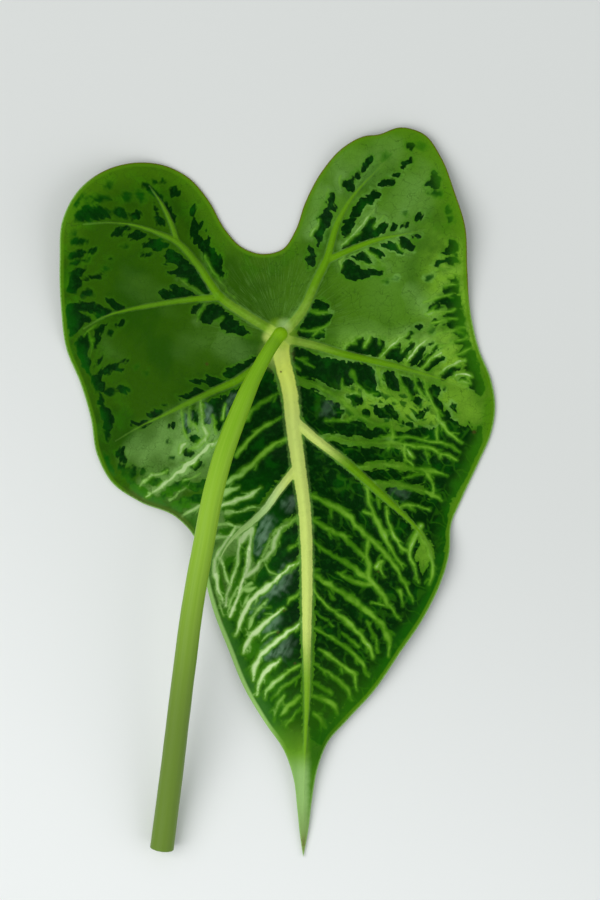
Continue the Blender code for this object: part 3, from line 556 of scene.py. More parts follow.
# %% The dark islands
# Strength, 0.5 (dim) to 1 (near black), then the outline on the drawing grid.
ISLANDS = [
    # The lower half, right and left of the midrib.
    (1.0, [(303, 434), (311, 441), (322, 450), (334, 460), (346, 470), (356, 478), (368, 489), (380, 499),
        (391, 508), (402, 517), (411, 526), (417, 536), (418, 545), (414, 552), (419, 565), (422, 580),
        (420, 592), (415, 604), (408, 617), (400, 630), (394, 642), (388, 653), (380, 663), (372, 674),
        (362, 686), (352, 697), (342, 708), (333, 719), (326, 728), (318, 733), (313, 726), (312, 700),
        (314, 660), (315, 620), (314, 590), (313, 560), (311, 530), (310, 500), (307, 480), (304, 460)]),
    (0.75, [(430, 560), (448, 552), (446, 565), (440, 585), (424, 618), (400, 654), (374, 692),
        (346, 722), (330, 739), (322, 744), (314, 740), (312, 700), (326, 726), (342, 706), (360, 686),
        (378, 664), (394, 640), (408, 616), (418, 596), (422, 575)]),
    (0.65, [(220, 606), (226, 640), (242, 686), (264, 722), (284, 748), (300, 750), (301, 730),
        (290, 728), (272, 706), (257, 683), (245, 658), (236, 632), (229, 612)]),
    (1.0, [(288, 480), (282, 489), (276, 497), (270, 505), (264, 513), (257, 524), (253, 532), (253, 545),
        (252, 556), (255, 562), (259, 562), (262, 553), (265, 544), (269, 535), (275, 527), (282, 522),
        (290, 517), (297, 513), (298, 500), (296, 490), (293, 483)]),
    (1.0, [(298, 521), (299, 560), (299, 600), (300, 640), (301, 660), (301, 690), (302, 715), (300, 734),
        (290, 728), (280, 718), (272, 706), (264, 694), (257, 683), (251, 671), (245, 658), (241, 645),
        (236, 632), (231, 618), (227, 606), (231, 596), (238, 588), (246, 580), (256, 575), (266, 562),
        (275, 553), (278, 543), (280, 534), (287, 528)]),
    (0.9, [(223, 561), (229, 556), (236, 555), (238, 564), (236, 576), (232, 585), (227, 580), (223, 570)]),
    (0.8, [(238, 564), (243, 557), (248, 559), (247, 570), (243, 580), (238, 590), (233, 600), (229, 606),
        (230, 596), (234, 584), (237, 574)]),
    (0.7, [(215, 567), (219, 563), (221, 574), (223, 586), (226, 596), (222, 600), (217, 588)]),
    (0.85, [(239, 548), (244, 541), (249, 541), (249, 552), (245, 558), (240, 556)]),
    (1.0, [(272, 370), (277, 386), (282, 402), (286, 418), (289, 432), (292, 446), (293, 457), (288, 468),
        (280, 479), (272, 488), (265, 497), (258, 505), (246, 508), (234, 510), (222, 510), (224, 500),
        (222, 480), (228, 460), (236, 440), (246, 410), (258, 385), (266, 368)]),
    (0.95, [(225, 516), (232, 511), (243, 511), (256, 511), (252, 518), (244, 523), (236, 525),
        (228, 523)]),
    (0.95, [(221, 528), (232, 527), (237, 529), (234, 534), (226, 535), (220, 533)]),
    # Either side of the upper left rib.
    (1.0, [(223, 373), (228, 368), (236, 365), (246, 361), (256, 357), (260, 360), (252, 368), (244, 374),
        (234, 379), (226, 378)]),
    (1.0, [(186, 379), (196, 380), (203, 380), (206, 375), (212, 377), (222, 379), (227, 381), (224, 385),
        (218, 388), (212, 388), (205, 384), (196, 383), (188, 382)]),
    (1.0, [(177, 396), (184, 394), (189, 394), (191, 390), (197, 388), (203, 389), (208, 391), (204, 395),
        (196, 397), (188, 399), (179, 399)]),
    (1.0, [(146, 413), (150, 413), (154, 409), (160, 409), (164, 412), (160, 417), (154, 419), (148, 417)]),
    (0.95, [(131, 420), (138, 421), (146, 420), (153, 423), (146, 426), (140, 429), (136, 427),
        (130, 424)]),
    (1.0, [(169, 425), (172, 422), (176, 424), (176, 428), (171, 430), (168, 427)]),
    (0.75, [(161, 405), (165, 403), (168, 405), (164, 407)]),
    (0.9, [(184, 412), (187, 414), (188, 424), (191, 431), (190, 434), (186, 433), (184, 428), (182, 420)]),
    (0.95, [(191, 409), (196, 409), (199, 413), (199, 419), (197, 425), (194, 424), (192, 417)]),
    (0.95, [(203, 403), (209, 401), (216, 398), (226, 395), (236, 389), (246, 384), (240, 400),
        (232, 414), (224, 424), (220, 431), (215, 430), (214, 421), (212, 419), (210, 425), (206, 425),
        (204, 417)]),
    (0.85, [(189, 437), (194, 434), (200, 437), (201, 443), (196, 443), (190, 441)]),
    (0.85, [(182, 451), (188, 449), (194, 451), (193, 456), (186, 457), (182, 455)]),
    (0.8, [(192, 465), (198, 460), (204, 462), (201, 468), (195, 470), (191, 468)]),
    (0.85, [(142, 479), (152, 477), (160, 478), (163, 482), (156, 486), (148, 485), (143, 482)]),
    (0.75, [(161, 470), (166, 468), (169, 471), (165, 475), (161, 474)]),
    (0.85, [(158, 498), (164, 490), (172, 484), (180, 480), (188, 478), (190, 481), (182, 488),
        (174, 493), (166, 499)]),
    (0.85, [(186, 487), (192, 483), (200, 482), (210, 478), (212, 486), (200, 490), (190, 490)]),
    (0.75, [(172, 504), (184, 497), (198, 494), (210, 490), (212, 500), (196, 503), (182, 510),
        (172, 511)]),
    (0.8, [(128, 468), (133, 465), (137, 468), (136, 475), (131, 479), (127, 474)]),
    (0.75, [(139, 469), (144, 467), (147, 471), (143, 475), (139, 473)]),
    (0.85, [(128, 480), (138, 484), (146, 488), (152, 493), (160, 499), (168, 506), (160, 507),
        (150, 502), (140, 496), (132, 489)]),
    (0.65, [(166, 440), (170, 439), (171, 443), (167, 444)]),
    (0.65, [(169, 457), (174, 456), (174, 460), (170, 460)]),
    (0.6, [(144, 372), (148, 370), (149, 375), (145, 376)]),
    (0.55, [(134, 366), (138, 365), (138, 368), (135, 369)]),
    # The left margin.
    (0.95, [(67, 305), (75, 303), (84, 302), (92, 302), (98, 305), (105, 309), (113, 311), (112, 315),
        (105, 318), (98, 318), (93, 314), (86, 311), (80, 312), (86, 315), (93, 319), (88, 323),
        (82, 328), (76, 334), (72, 337), (69, 330), (67, 318)]),
    (1.0, [(106, 299), (112, 298), (117, 302), (123, 305), (126, 310), (122, 312), (116, 310), (110, 306)]),
    (0.95, [(94, 329), (101, 325), (109, 323), (107, 328), (102, 334), (101, 341), (98, 347), (95, 352),
        (92, 348), (93, 338)]),
    (0.95, [(114, 328), (117, 323), (123, 320), (127, 321), (123, 326), (118, 329)]),
    (0.95, [(88, 332), (91, 337), (90, 345), (88, 353), (91, 362), (90, 368), (92, 377), (88, 375),
        (83, 368), (79, 358), (76, 348), (76, 342), (81, 337)]),
    (0.75, [(107, 331), (112, 329), (115, 332), (112, 337), (108, 336)]),
    (0.85, [(94, 371), (96, 362), (101, 356), (104, 354), (103, 360), (98, 367)]),
    (0.9, [(98, 371), (104, 366), (110, 363), (118, 363), (125, 359), (130, 358), (129, 362), (121, 364),
        (119, 368), (125, 369), (123, 373), (115, 370), (108, 375), (102, 378), (106, 386), (103, 394),
        (97, 392), (93, 386), (91, 377)]),
    (0.95, [(118, 387), (124, 384), (130, 387), (131, 391), (124, 394), (118, 391)]),
    (0.75, [(104, 390), (112, 387), (117, 391), (110, 396), (105, 395)]),
    (0.95, [(99, 392), (103, 395), (104, 404), (110, 409), (114, 418), (114, 424), (111, 433), (108, 442),
        (105, 436), (103, 425), (101, 415), (98, 404)]),
    (0.95, [(116, 452), (119, 449), (124, 446), (126, 455), (126, 463), (120, 461), (117, 457)]),
    (0.8, [(116, 462), (124, 464), (128, 472), (134, 480), (140, 489), (133, 488), (125, 480), (119, 471)]),
    (0.7, [(104, 452), (108, 456), (112, 466), (118, 476), (112, 474), (106, 464)]),
    (0.7, [(72, 240), (80, 239), (89, 241), (88, 245), (79, 246), (72, 246)]),
    (0.8, [(70, 254), (80, 251), (90, 250), (98, 248), (98, 252), (88, 256), (78, 260), (70, 259)]),
    (0.7, [(70, 264), (80, 260), (92, 259), (91, 262), (80, 265), (71, 267)]),
    (0.85, [(71, 272), (76, 269), (83, 267), (88, 267), (85, 273), (81, 279), (92, 276), (102, 274),
        (106, 276), (96, 280), (86, 281), (81, 288), (75, 295), (69, 293), (70, 281)]),
    (0.75, [(82, 292), (88, 289), (94, 290), (94, 296), (86, 298), (82, 297)]),
    (0.75, [(107, 259), (111, 256), (114, 258), (111, 262)]),
    (0.65, [(73, 233), (78, 232), (78, 238), (73, 238)]),
    (0.65, [(121, 247), (128, 245), (130, 248), (123, 249)]),
    (0.6, [(101, 270), (108, 267), (112, 269), (104, 272)]),
    # The left lobe.
    (0.95, [(110, 237), (115, 231), (121, 228), (128, 226), (132, 229), (128, 232), (122, 237),
        (115, 239)]),
    (1.0, [(126, 237), (131, 233), (137, 231), (143, 233), (149, 236), (143, 240), (136, 242), (130, 240)]),
    (1.0, [(142, 245), (148, 241), (155, 239), (162, 240), (169, 244), (169, 248), (163, 251), (157, 253),
        (150, 249), (144, 249)]),
    (0.9, [(140, 256), (146, 252), (153, 254), (150, 258), (143, 258)]),
    (1.0, [(163, 257), (168, 250), (173, 249), (180, 254), (187, 260), (195, 268), (201, 276), (207, 284),
        (212, 294), (205, 295), (198, 290), (191, 286), (185, 283), (181, 279), (174, 276), (166, 274),
        (171, 271), (178, 268), (172, 265), (162, 264), (167, 261)]),
    (1.0, [(158, 293), (162, 289), (169, 290), (175, 293), (170, 287), (175, 284), (182, 287), (190, 290),
        (200, 296), (192, 297), (183, 299), (174, 301), (167, 301), (160, 297)]),
    (1.0, [(190, 238), (191, 228), (194, 217), (197, 222), (199, 232), (203, 238), (207, 239), (209, 234),
        (212, 236), (211, 246), (214, 248), (218, 254), (222, 255), (223, 262), (221, 267), (225, 270),
        (225, 277), (219, 279), (212, 273), (208, 266), (204, 258), (200, 250), (195, 244)]),
    (0.95, [(198, 228), (200, 222), (204, 221), (203, 227), (200, 231)]),
    (0.85, [(191, 206), (193, 202), (196, 205), (195, 212), (192, 217), (189, 213)]),
    (0.8, [(204, 230), (207, 228), (208, 232), (205, 233)]),
    (0.8, [(154, 203), (157, 206), (160, 216), (166, 222), (168, 228), (164, 229), (158, 226), (155, 217)]),
    (0.95, [(162, 203), (167, 202), (172, 210), (177, 219), (176, 224), (171, 222), (166, 213)]),
    (0.75, [(143, 182), (150, 186), (158, 192), (165, 200), (161, 203), (155, 197), (147, 191),
        (143, 187)]),
    (0.8, [(169, 189), (175, 186), (180, 191), (179, 197), (172, 198), (169, 194)]),
    (0.7, [(153, 181), (160, 181), (164, 178), (167, 183), (160, 185), (154, 184)]),
    (0.7, [(75, 217), (82, 209), (92, 205), (90, 213), (82, 221), (76, 222)]),
    (0.6, [(84, 199), (96, 197), (110, 198), (109, 201), (96, 201), (86, 202)]),
    (0.7, [(90, 212), (98, 206), (106, 209), (113, 215), (104, 218), (95, 219)]),
    (0.7, [(116, 211), (122, 210), (129, 216), (127, 219), (120, 216)]),
    (0.9, [(131, 214), (136, 211), (142, 214), (142, 220), (136, 222), (131, 218)]),
    (1.0, [(190, 312), (194, 306), (199, 304), (205, 304), (200, 309), (196, 314), (192, 314)]),
    (1.0, [(199, 319), (200, 311), (205, 307), (212, 304), (219, 306), (226, 311), (234, 317), (242, 325),
        (251, 335), (244, 336), (236, 334), (228, 333), (222, 329), (219, 324), (223, 319), (215, 322),
        (208, 324), (202, 322)]),
    (0.75, [(77, 223), (82, 213), (90, 208), (99, 210), (106, 214), (114, 217), (108, 221), (96, 222),
        (86, 224)]),
    (0.7, [(112, 212), (119, 208), (127, 212), (132, 218), (124, 221), (116, 217)]),
    (0.65, [(86, 205), (96, 199), (108, 197), (114, 201), (104, 203), (94, 206)]),
    (0.6, [(120, 196), (127, 191), (133, 197), (129, 204), (123, 202)]),
    (0.6, [(105, 187), (110, 183), (113, 188), (108, 192)]),
    (0.65, [(74, 206), (80, 199), (86, 195), (82, 203), (77, 210)]),
    (0.6, [(136, 193), (141, 191), (146, 199), (142, 206), (138, 200)]),
    # The right lobe.
    (1.0, [(329, 197), (332, 193), (335, 198), (335, 205), (337, 211), (333, 212), (328, 208), (326, 203)]),
    (1.0, [(322, 210), (328, 208), (331, 213), (332, 222), (330, 228), (325, 230), (323, 238), (320, 247),
        (315, 247), (316, 240), (311, 236), (317, 230), (320, 224), (317, 219), (321, 214)]),
    (0.95, [(308, 249), (310, 245), (314, 251), (317, 254), (315, 260), (313, 266), (309, 268),
        (306, 263), (304, 259), (309, 256)]),
    (0.95, [(341, 184), (346, 181), (350, 179), (354, 186), (355, 191), (350, 193), (344, 188)]),
    (0.85, [(352, 178), (355, 172), (358, 172), (360, 177), (357, 182), (354, 181)]),
    (0.8, [(359, 172), (363, 165), (367, 159), (372, 156), (374, 160), (369, 167), (365, 173), (361, 176)]),
    (1.0, [(343, 238), (341, 230), (344, 222), (350, 216), (351, 210), (356, 204), (361, 198), (368, 196),
        (371, 191), (377, 191), (381, 196), (376, 201), (371, 205), (364, 208), (362, 213), (357, 218),
        (354, 226), (350, 234), (347, 239)]),
    (1.0, [(341, 249), (346, 243), (352, 238), (358, 233), (364, 227), (368, 221), (372, 216), (376, 217),
        (375, 223), (373, 228), (380, 224), (387, 220), (387, 227), (384, 233), (377, 237), (370, 240),
        (362, 243), (354, 247), (347, 250)]),
    (0.95, [(377, 185), (380, 181), (388, 180), (395, 182), (394, 186), (386, 187), (380, 188)]),
    (0.8, [(388, 177), (393, 174), (400, 174), (401, 177), (393, 179)]),
    (0.85, [(399, 168), (402, 163), (407, 160), (413, 158), (412, 163), (407, 167), (402, 170)]),
    (0.8, [(406, 149), (406, 144), (411, 142), (415, 146), (412, 150)]),
    (0.5, [(414, 146), (422, 144), (427, 147), (420, 150)]),
    (0.5, [(381, 155), (386, 153), (389, 158), (383, 161)]),
    (0.85, [(424, 186), (428, 182), (431, 178), (431, 172), (434, 170), (438, 176), (440, 183),
        (440, 188), (431, 189)]),
    (0.6, [(425, 193), (432, 192), (441, 192), (441, 196), (432, 196)]),
    (0.65, [(443, 209), (446, 205), (451, 211), (449, 215), (445, 213)]),
    (0.7, [(446, 219), (451, 217), (453, 222), (448, 224)]),
    (0.85, [(413, 218), (417, 213), (422, 213), (422, 220), (417, 222)]),
    (0.9, [(389, 230), (393, 224), (397, 225), (395, 231), (391, 233)]),
    (0.8, [(398, 228), (402, 224), (408, 224), (406, 228), (401, 230)]),
    (0.55, [(402, 212), (406, 211), (407, 215), (403, 215)]),
    (0.85, [(411, 236), (417, 234), (422, 237), (417, 240), (413, 239)]),
    (0.95, [(397, 240), (402, 236), (408, 239), (411, 244), (415, 247), (412, 252), (406, 251),
        (401, 247)]),
    (0.9, [(380, 244), (388, 242), (397, 245), (402, 250), (402, 255), (395, 252), (387, 250), (381, 248)]),
    (0.95, [(366, 251), (371, 247), (377, 248), (382, 252), (387, 256), (383, 259), (376, 257),
        (370, 254)]),
    (1.0, [(351, 257), (357, 254), (362, 252), (367, 255), (370, 259), (374, 263), (368, 264), (361, 262),
        (355, 260)]),
    (1.0, [(342, 266), (344, 261), (350, 260), (356, 264), (362, 268), (370, 269), (378, 269), (384, 273),
        (378, 276), (370, 277), (362, 279), (353, 280), (346, 278), (342, 273)]),
    (0.55, [(383, 281), (387, 279), (390, 281), (386, 284)]),
    (0.55, [(392, 279), (397, 276), (401, 278), (396, 281)]),
    (1.0, [(311, 306), (314, 301), (320, 299), (326, 302), (330, 308), (327, 312), (318, 313), (312, 310)]),
    (1.0, [(296, 333), (300, 326), (305, 318), (309, 310), (316, 313), (326, 314), (331, 312), (331, 318),
        (328, 324), (323, 329), (326, 331), (326, 336), (321, 339), (311, 339), (301, 339)]),
    # The right margin.
    (0.8, [(439, 255), (445, 250), (448, 247), (449, 242), (453, 241), (457, 246), (457, 252), (450, 255),
        (444, 256)]),
    (0.75, [(432, 265), (438, 261), (444, 259), (450, 256), (457, 256), (458, 263), (450, 265),
        (444, 263), (437, 267)]),
    (0.6, [(423, 279), (428, 276), (434, 275), (432, 279), (426, 281)]),
    (0.7, [(449, 279), (456, 277), (458, 282), (451, 284)]),
    (0.75, [(441, 291), (447, 286), (453, 284), (458, 286), (459, 293), (452, 294), (445, 294)]),
    (0.8, [(433, 302), (440, 298), (446, 295), (453, 295), (459, 297), (461, 310), (452, 310), (446, 308),
        (441, 303)]),
    (0.75, [(432, 304), (438, 303), (442, 308), (436, 310), (430, 313), (426, 313)]),
    (0.8, [(440, 317), (446, 314), (450, 310), (457, 308), (462, 311), (465, 325), (469, 340), (474, 352),
        (479, 365), (482, 378), (484, 391), (480, 396), (474, 391), (467, 384), (472, 379), (467, 375),
        (463, 371), (466, 364), (462, 359), (457, 354), (461, 349), (463, 345), (458, 345), (452, 342),
        (461, 338), (456, 336), (452, 333), (458, 330), (449, 328), (442, 325), (448, 320)]),
    (0.85, [(431, 322), (435, 318), (441, 321), (439, 325), (433, 326)]),
    (0.55, [(428, 330), (436, 328), (435, 333), (430, 334)]),
    (0.9, [(415, 327), (419, 324), (423, 325), (422, 329), (417, 330)]),
    (0.8, [(404, 338), (408, 334), (413, 331), (411, 336), (406, 340)]),
    (0.7, [(427, 345), (431, 341), (434, 343), (430, 346)]),
    # Over the upper right rib.
    (1.0, [(345, 350), (350, 345), (356, 340), (361, 337), (368, 339), (374, 337), (379, 339), (385, 340),
        (385, 348), (382, 355), (375, 357), (368, 356), (360, 355), (352, 354), (346, 353)]),
    (0.95, [(383, 357), (388, 350), (393, 345), (398, 341), (401, 345), (402, 350), (407, 345),
        (412, 341), (417, 342), (415, 348), (410, 354), (407, 359), (400, 362), (392, 361), (386, 360)]),
    (0.9, [(408, 364), (413, 356), (418, 350), (422, 345), (426, 347), (425, 353), (421, 359), (417, 366),
        (412, 366)]),
    (1.0, [(419, 362), (424, 356), (430, 351), (436, 345), (441, 345), (438, 350), (432, 356), (426, 361),
        (422, 368), (417, 368)]),
    (1.0, [(425, 367), (430, 362), (435, 358), (441, 356), (445, 358), (441, 363), (435, 366), (430, 370),
        (425, 371)]),
    (0.85, [(440, 376), (444, 371), (449, 368), (455, 366), (461, 364), (462, 368), (457, 371),
        (452, 375), (446, 380), (440, 379)]),
    (0.8, [(456, 379), (461, 377), (468, 377), (472, 380), (464, 382), (458, 381)]),
    # Between the upper right rib and the midrib.
    (1.0, [(291, 354), (295, 348), (305, 350), (315, 354), (325, 357), (335, 359), (345, 361), (355, 362),
        (363, 363), (370, 366), (375, 373), (377, 381), (376, 388), (380, 396), (374, 397), (366, 393),
        (360, 388), (356, 383), (353, 385), (347, 386), (343, 383), (340, 380), (342, 388), (338, 391),
        (331, 388), (324, 384), (316, 381), (308, 379), (298, 377), (295, 370), (292, 362)]),
    (1.0, [(296, 388), (300, 385), (307, 387), (314, 389), (320, 393), (327, 399), (334, 402), (340, 406),
        (343, 411), (341, 419), (348, 422), (357, 420), (364, 422), (371, 430), (378, 427), (387, 426),
        (389, 431), (384, 437), (374, 439), (360, 436), (345, 436), (330, 434), (321, 435), (314, 434),
        (308, 427), (302, 416), (299, 402)]),
    (0.95, [(345, 395), (352, 395), (358, 394), (364, 398), (362, 404), (356, 407), (350, 401)]),
    (0.85, [(362, 411), (367, 409), (371, 413), (367, 417), (363, 415)]),
    (0.9, [(372, 408), (376, 404), (382, 408), (386, 403), (391, 405), (396, 411), (401, 416), (396, 420),
        (388, 418), (379, 417)]),
    (0.75, [(397, 420), (404, 421), (413, 424), (416, 427), (406, 426), (399, 424)]),
    (1.0, [(380, 375), (385, 371), (392, 372), (397, 378), (401, 386), (399, 391), (393, 391), (387, 386),
        (382, 379)]),
    (1.0, [(398, 376), (404, 376), (411, 378), (415, 384), (417, 392), (413, 397), (408, 393), (403, 386)]),
    (0.95, [(413, 380), (419, 379), (424, 386), (428, 394), (426, 397), (420, 391), (416, 386)]),
    (1.0, [(427, 389), (431, 384), (438, 384), (441, 389), (440, 395), (436, 398), (430, 396)]),
    (0.9, [(429, 398), (435, 397), (440, 401), (444, 407), (440, 410), (434, 406), (430, 402)]),
    (0.8, [(410, 400), (416, 396), (422, 399), (421, 403), (413, 403)]),
    (0.8, [(414, 415), (418, 411), (422, 412), (425, 407), (429, 408), (426, 414), (421, 420), (416, 418)]),
    (0.85, [(437, 413), (443, 410), (450, 411), (450, 418), (444, 422), (439, 418)]),
    (0.85, [(448, 405), (452, 402), (456, 408), (458, 414), (453, 412)]),
    (0.7, [(441, 388), (446, 387), (444, 391)]),
    # Between the two right ribs, lower, and along the margin.
    (0.95, [(324, 440), (335, 442), (350, 445), (365, 447), (380, 448), (392, 448), (401, 449),
        (405, 456), (404, 461), (392, 461), (378, 461), (366, 463), (360, 467), (352, 461), (343, 454),
        (333, 447)]),
    (0.95, [(361, 471), (368, 470), (380, 469), (395, 469), (408, 471), (420, 473), (425, 479),
        (420, 485), (410, 484), (398, 481), (385, 480), (377, 481), (370, 480), (364, 477)]),
    (0.9, [(383, 489), (392, 487), (402, 489), (414, 491), (425, 495), (432, 500), (440, 503), (450, 501),
        (448, 515), (446, 530), (444, 545), (440, 556), (436, 560), (434, 552), (430, 541), (424, 532),
        (417, 525), (409, 517), (402, 509), (396, 501), (390, 495)]),
    (0.8, [(366, 433), (375, 431), (384, 432), (396, 431), (404, 432), (412, 429), (420, 427), (430, 428),
        (440, 425), (447, 420), (455, 420), (462, 427), (468, 423), (474, 429), (481, 425), (483, 433),
        (480, 445), (476, 455), (472, 465), (468, 475), (462, 485), (456, 495), (450, 503), (438, 504),
        (428, 498), (424, 488), (425, 476), (415, 470), (406, 466), (405, 456), (404, 447), (394, 440),
        (380, 437), (370, 438)]),
]
print("islands", len(ISLANDS))

# %% Sheen and bleached ground
# Where the dark tissue puckers and a sheen shows, painted into its colour and given a thin coat: each a route
# of places and half widths.
SHEEN = [
    [(268, 520, 3), (262, 535, 5), (257, 548, 4)], [(290, 568, 3), (280, 583, 5), (268, 592, 3)],
    [(288, 640, 3), (284, 650, 4), (276, 652, 3)], [(274, 646, 5), (268, 652, 5)],
    [(294, 500, 3), (288, 505, 4)], [(262, 600, 2), (254, 610, 3)], [(276, 618, 3), (268, 628, 3)],
    [(185, 414, 2), (187, 428, 3)], [(206, 408, 2), (208, 420, 3)], [(236, 400, 3), (230, 412, 3)],
    [(330, 404, 4), (326, 412, 4)], [(392, 490, 2), (404, 494, 3)],
]
# Where the ground is bleached: how much, then the route. Its edge is soft.
BLEACHED = [
    (0.75, [(142, 455, 10), (170, 440, 18), (205, 440, 18)]),
    (0.5, [(150, 490, 5), (180, 470, 10), (210, 460, 12)]),
    (0.5, [(222, 552, 4), (233, 542, 5), (248, 528, 4)]), (0.5, [(212, 520, 8), (236, 500, 8)]),
    (0.3, [(226, 342, 8), (242, 354, 7)]), (0.12, [(188, 344, 8), (206, 340, 8)]),
    (0.05, [(262, 305, 12), (275, 275, 12)]), (0.08, [(300, 290, 8), (290, 315, 6)]),
    (0.45, [(345, 333, 6), (380, 340, 9), (420, 345, 10), (452, 362, 10)]),
    (0.55, [(440, 395, 8), (460, 398, 12), (466, 410, 8)]),
    (0.3, [(330, 150, 10), (352, 178, 12), (385, 150, 10)]),
    (0.35, [(395, 225, 10), (412, 200, 12), (420, 180, 8)]), (0.35, [(312, 230, 6), (322, 190, 8)]),
    (0.65, [(348, 398, 8), (378, 400, 9), (404, 408, 10), (430, 410, 8)]),
    (0.35, [(405, 452, 8), (415, 460, 6)]), (0.08, [(380, 300, 14), (400, 260, 10)]),
    (0.4, [(410, 294, 6), (426, 304, 5)]), (0.4, [(414, 534, 3), (420, 546, 4), (424, 558, 3)]),
    (0.08, [(130, 285, 6), (170, 300, 6)]), (0.12, [(100, 342, 3), (112, 352, 3)]),
    (0.35, [(248, 540, 4), (244, 562, 4), (236, 590, 3)]),
]


def stroke_lines(routes):
    """Routes from the drawing grid as lines of (x, y, half width) in leaf millimetres."""
    return [np.array([(*on_leaf(x, y), half * GRID) for x, y, half in route]) for route in routes]


sheen_lines = stroke_lines(SHEEN)
bleached_lines = stroke_lines(route for _, route in BLEACHED)
bleached_by = np.array([amount for amount, _ in BLEACHED])
print("strokes of sheen", len(SHEEN), "and of bleached ground", len(BLEACHED))

# %% How deep a point lies in an island
DEPTH_LIMIT = 1.5
ISLAND_STEP = 0.4
OUTSIDE_STRENGTH = 0.8


def island_depth(points):
    """How deep inside an island each point is (below 0 is outside), and that island's strength."""
    depth = np.full(len(points), -DEPTH_LIMIT)
    strength = np.full(len(points), OUTSIDE_STRENGTH)
    for strong, outline_on_grid in ISLANDS:
        knots = [on_leaf(x, y) for x, y in outline_on_grid + outline_on_grid[:1]]
        loop = smooth_line(knots, ISLAND_STEP)
        low, high = loop.min(axis=0) - DEPTH_LIMIT, loop.max(axis=0) + DEPTH_LIMIT
        near = np.flatnonzero(((points > low) & (points < high)).all(axis=1))
        away = distance_to_line(points[near], loop)[0]
        signed = np.where(inside(points[near], loop[:-1]), away, -away)
        better = signed > depth[near]
        depth[near[better]] = signed[better]
        strength[near[better]] = strong
    return np.minimum(depth, DEPTH_LIMIT), strength


SAMPLE = np.array([on_leaf(340, 600)])
print("in the dark right of the midrib, depth and strength are", *island_depth(SAMPLE))

# %% Everything that a point stores
# How pale each rib is at its start and at its end, and between which shares of its length that changes.
RIB_TONES = [
    (1.0, 0.3, 0.45, 0.85), (0.42, -0.6, 0.2, 0.78), (-0.2, -0.7, 0.0, 0.5), (0.15, -0.4, 0.0, 0.9),
    (0.5, 0.0, 0.0, 0.8), (0.35, -0.05, 0.0, 1.0), (0.5, -0.2, 0.0, 1.0), (1.0, 0.15, 0.0, 0.5),
    (0.4, -0.45, 0.0, 0.95), (1.0, 0.6, 0.0, 0.6),
]
# A rib reaches its height this far from its start, and its end keeps little of its width.
BRANCH_RISE, END_LOSS = 4.0, 0.9
FLANK_STEEPNESS, FLANK_LEAST = 1.3, 0.4
# How sharply the nearest rib's tone takes over where ribs meet.
TONE_SHARPNESS = 5.0
FAR_OUTSIDE = -9.0
MOUND_RISE, MOUND_REACH = 2.0, 4.2
VEIN_REACH = 2.0
BLEACH_REACH = 3.5
SHEEN_REACH = 1.5
# How far and in what waves each drawing wanders, in mm.
VEIN_WANDER = (0.22, 4.2)
ISLAND_WANDER = (0.3, 2.6)
ISLAND_FRAY = (0.14, 1.1)
BLEACH_WANDER = (1.2, 9.0)
SHEEN_WANDER = (0.7, 2.4)


def leaf_fields(points):
    """Everything that the shape and the colour need, for an array of points in the plane of the leaf."""
    field = {}
    field["edge"] = nearest(margin_tree, points)[1]
    from_joint = np.linalg.norm(points, axis=1)
    relief = MOUND_RISE * np.clip(1.0 - (from_joint / MOUND_REACH) ** 2, 0.0, 1.0) ** 2
    share_of_rib = np.full(len(points), FAR_OUTSIDE)
    rib_away = np.full(len(points), np.inf)
    tone, weight = np.zeros(len(points)), np.full(len(points), 1e-9)
    for i, (line, (_, widths, heights), tones) in enumerate(zip(rib_lines, RIBS.values(), RIB_TONES)):
        away, along = distance_to_line(points, line)
        fading = 1.0 - END_LOSS * smoothstep(0.5, 1.0, along)
        rising = 0.55 + 0.45 * smoothstep(0.0, BRANCH_RISE, along * rib_lengths[i])
        half_width = (widths[0] + (widths[1] - widths[0]) * along) * fading
        height = (heights[0] + (heights[1] - heights[0]) * along) * fading * rising
        off = away / np.maximum(half_width, FLANK_LEAST)
        relief = np.maximum(relief, height * np.exp(-FLANK_STEEPNESS * off**2))
        signed = (half_width - away) / np.maximum(half_width, 0.55)
        pull = np.exp(TONE_SHARPNESS * np.clip(signed, -4.0, 1.0))
        tone += pull * (tones[0] + (tones[1] - tones[0]) * smoothstep(tones[2], tones[3], along))
        weight += pull
        share_of_rib = np.maximum(share_of_rib, signed)
        rib_away = np.minimum(rib_away, away)
    tone /= weight
    field["rib"], field["relief"], field["rib_away"] = share_of_rib, relief, rib_away
    field["rib_tone"] = np.maximum(tone, 0.75 * smoothstep(6.0, 1.5, from_joint))
    field["vein"], owner = drawn_distance(wander(points, *VEIN_WANDER), pale_lines, VEIN_REACH)
    field["vein_tone"] = pale_tones[owner]
    field["dark"], field["strength"] = island_depth(wander(wander(points, *ISLAND_WANDER), *ISLAND_FRAY))
    away, owner = drawn_distance(wander(points, *BLEACH_WANDER), bleached_lines, BLEACH_REACH)
    field["bleach"] = bleached_by[owner] * smoothstep(BLEACH_REACH, -2.0, away)
    away, _ = drawn_distance(wander(points, *SHEEN_WANDER), sheen_lines, SHEEN_REACH)
    field["sheen"] = smoothstep(SHEEN_REACH, -0.9, away)
    field["fine"] = nearest(fine_tree, points)[1]
    return field


print("a point stores", sorted(leaf_fields(SAMPLE)))

# %% [markdown]
# The lie of the blade.
# A leaf laid on a table isn't flat: the lower half stays folded along the midrib, the lobes lift a little at
# the margin, the ground between ribs sags like a quilt, and the margin ripples. One height formula gives all
# of that, and the same formula shaped the plain solid, so the fine sheet lies exactly on it.

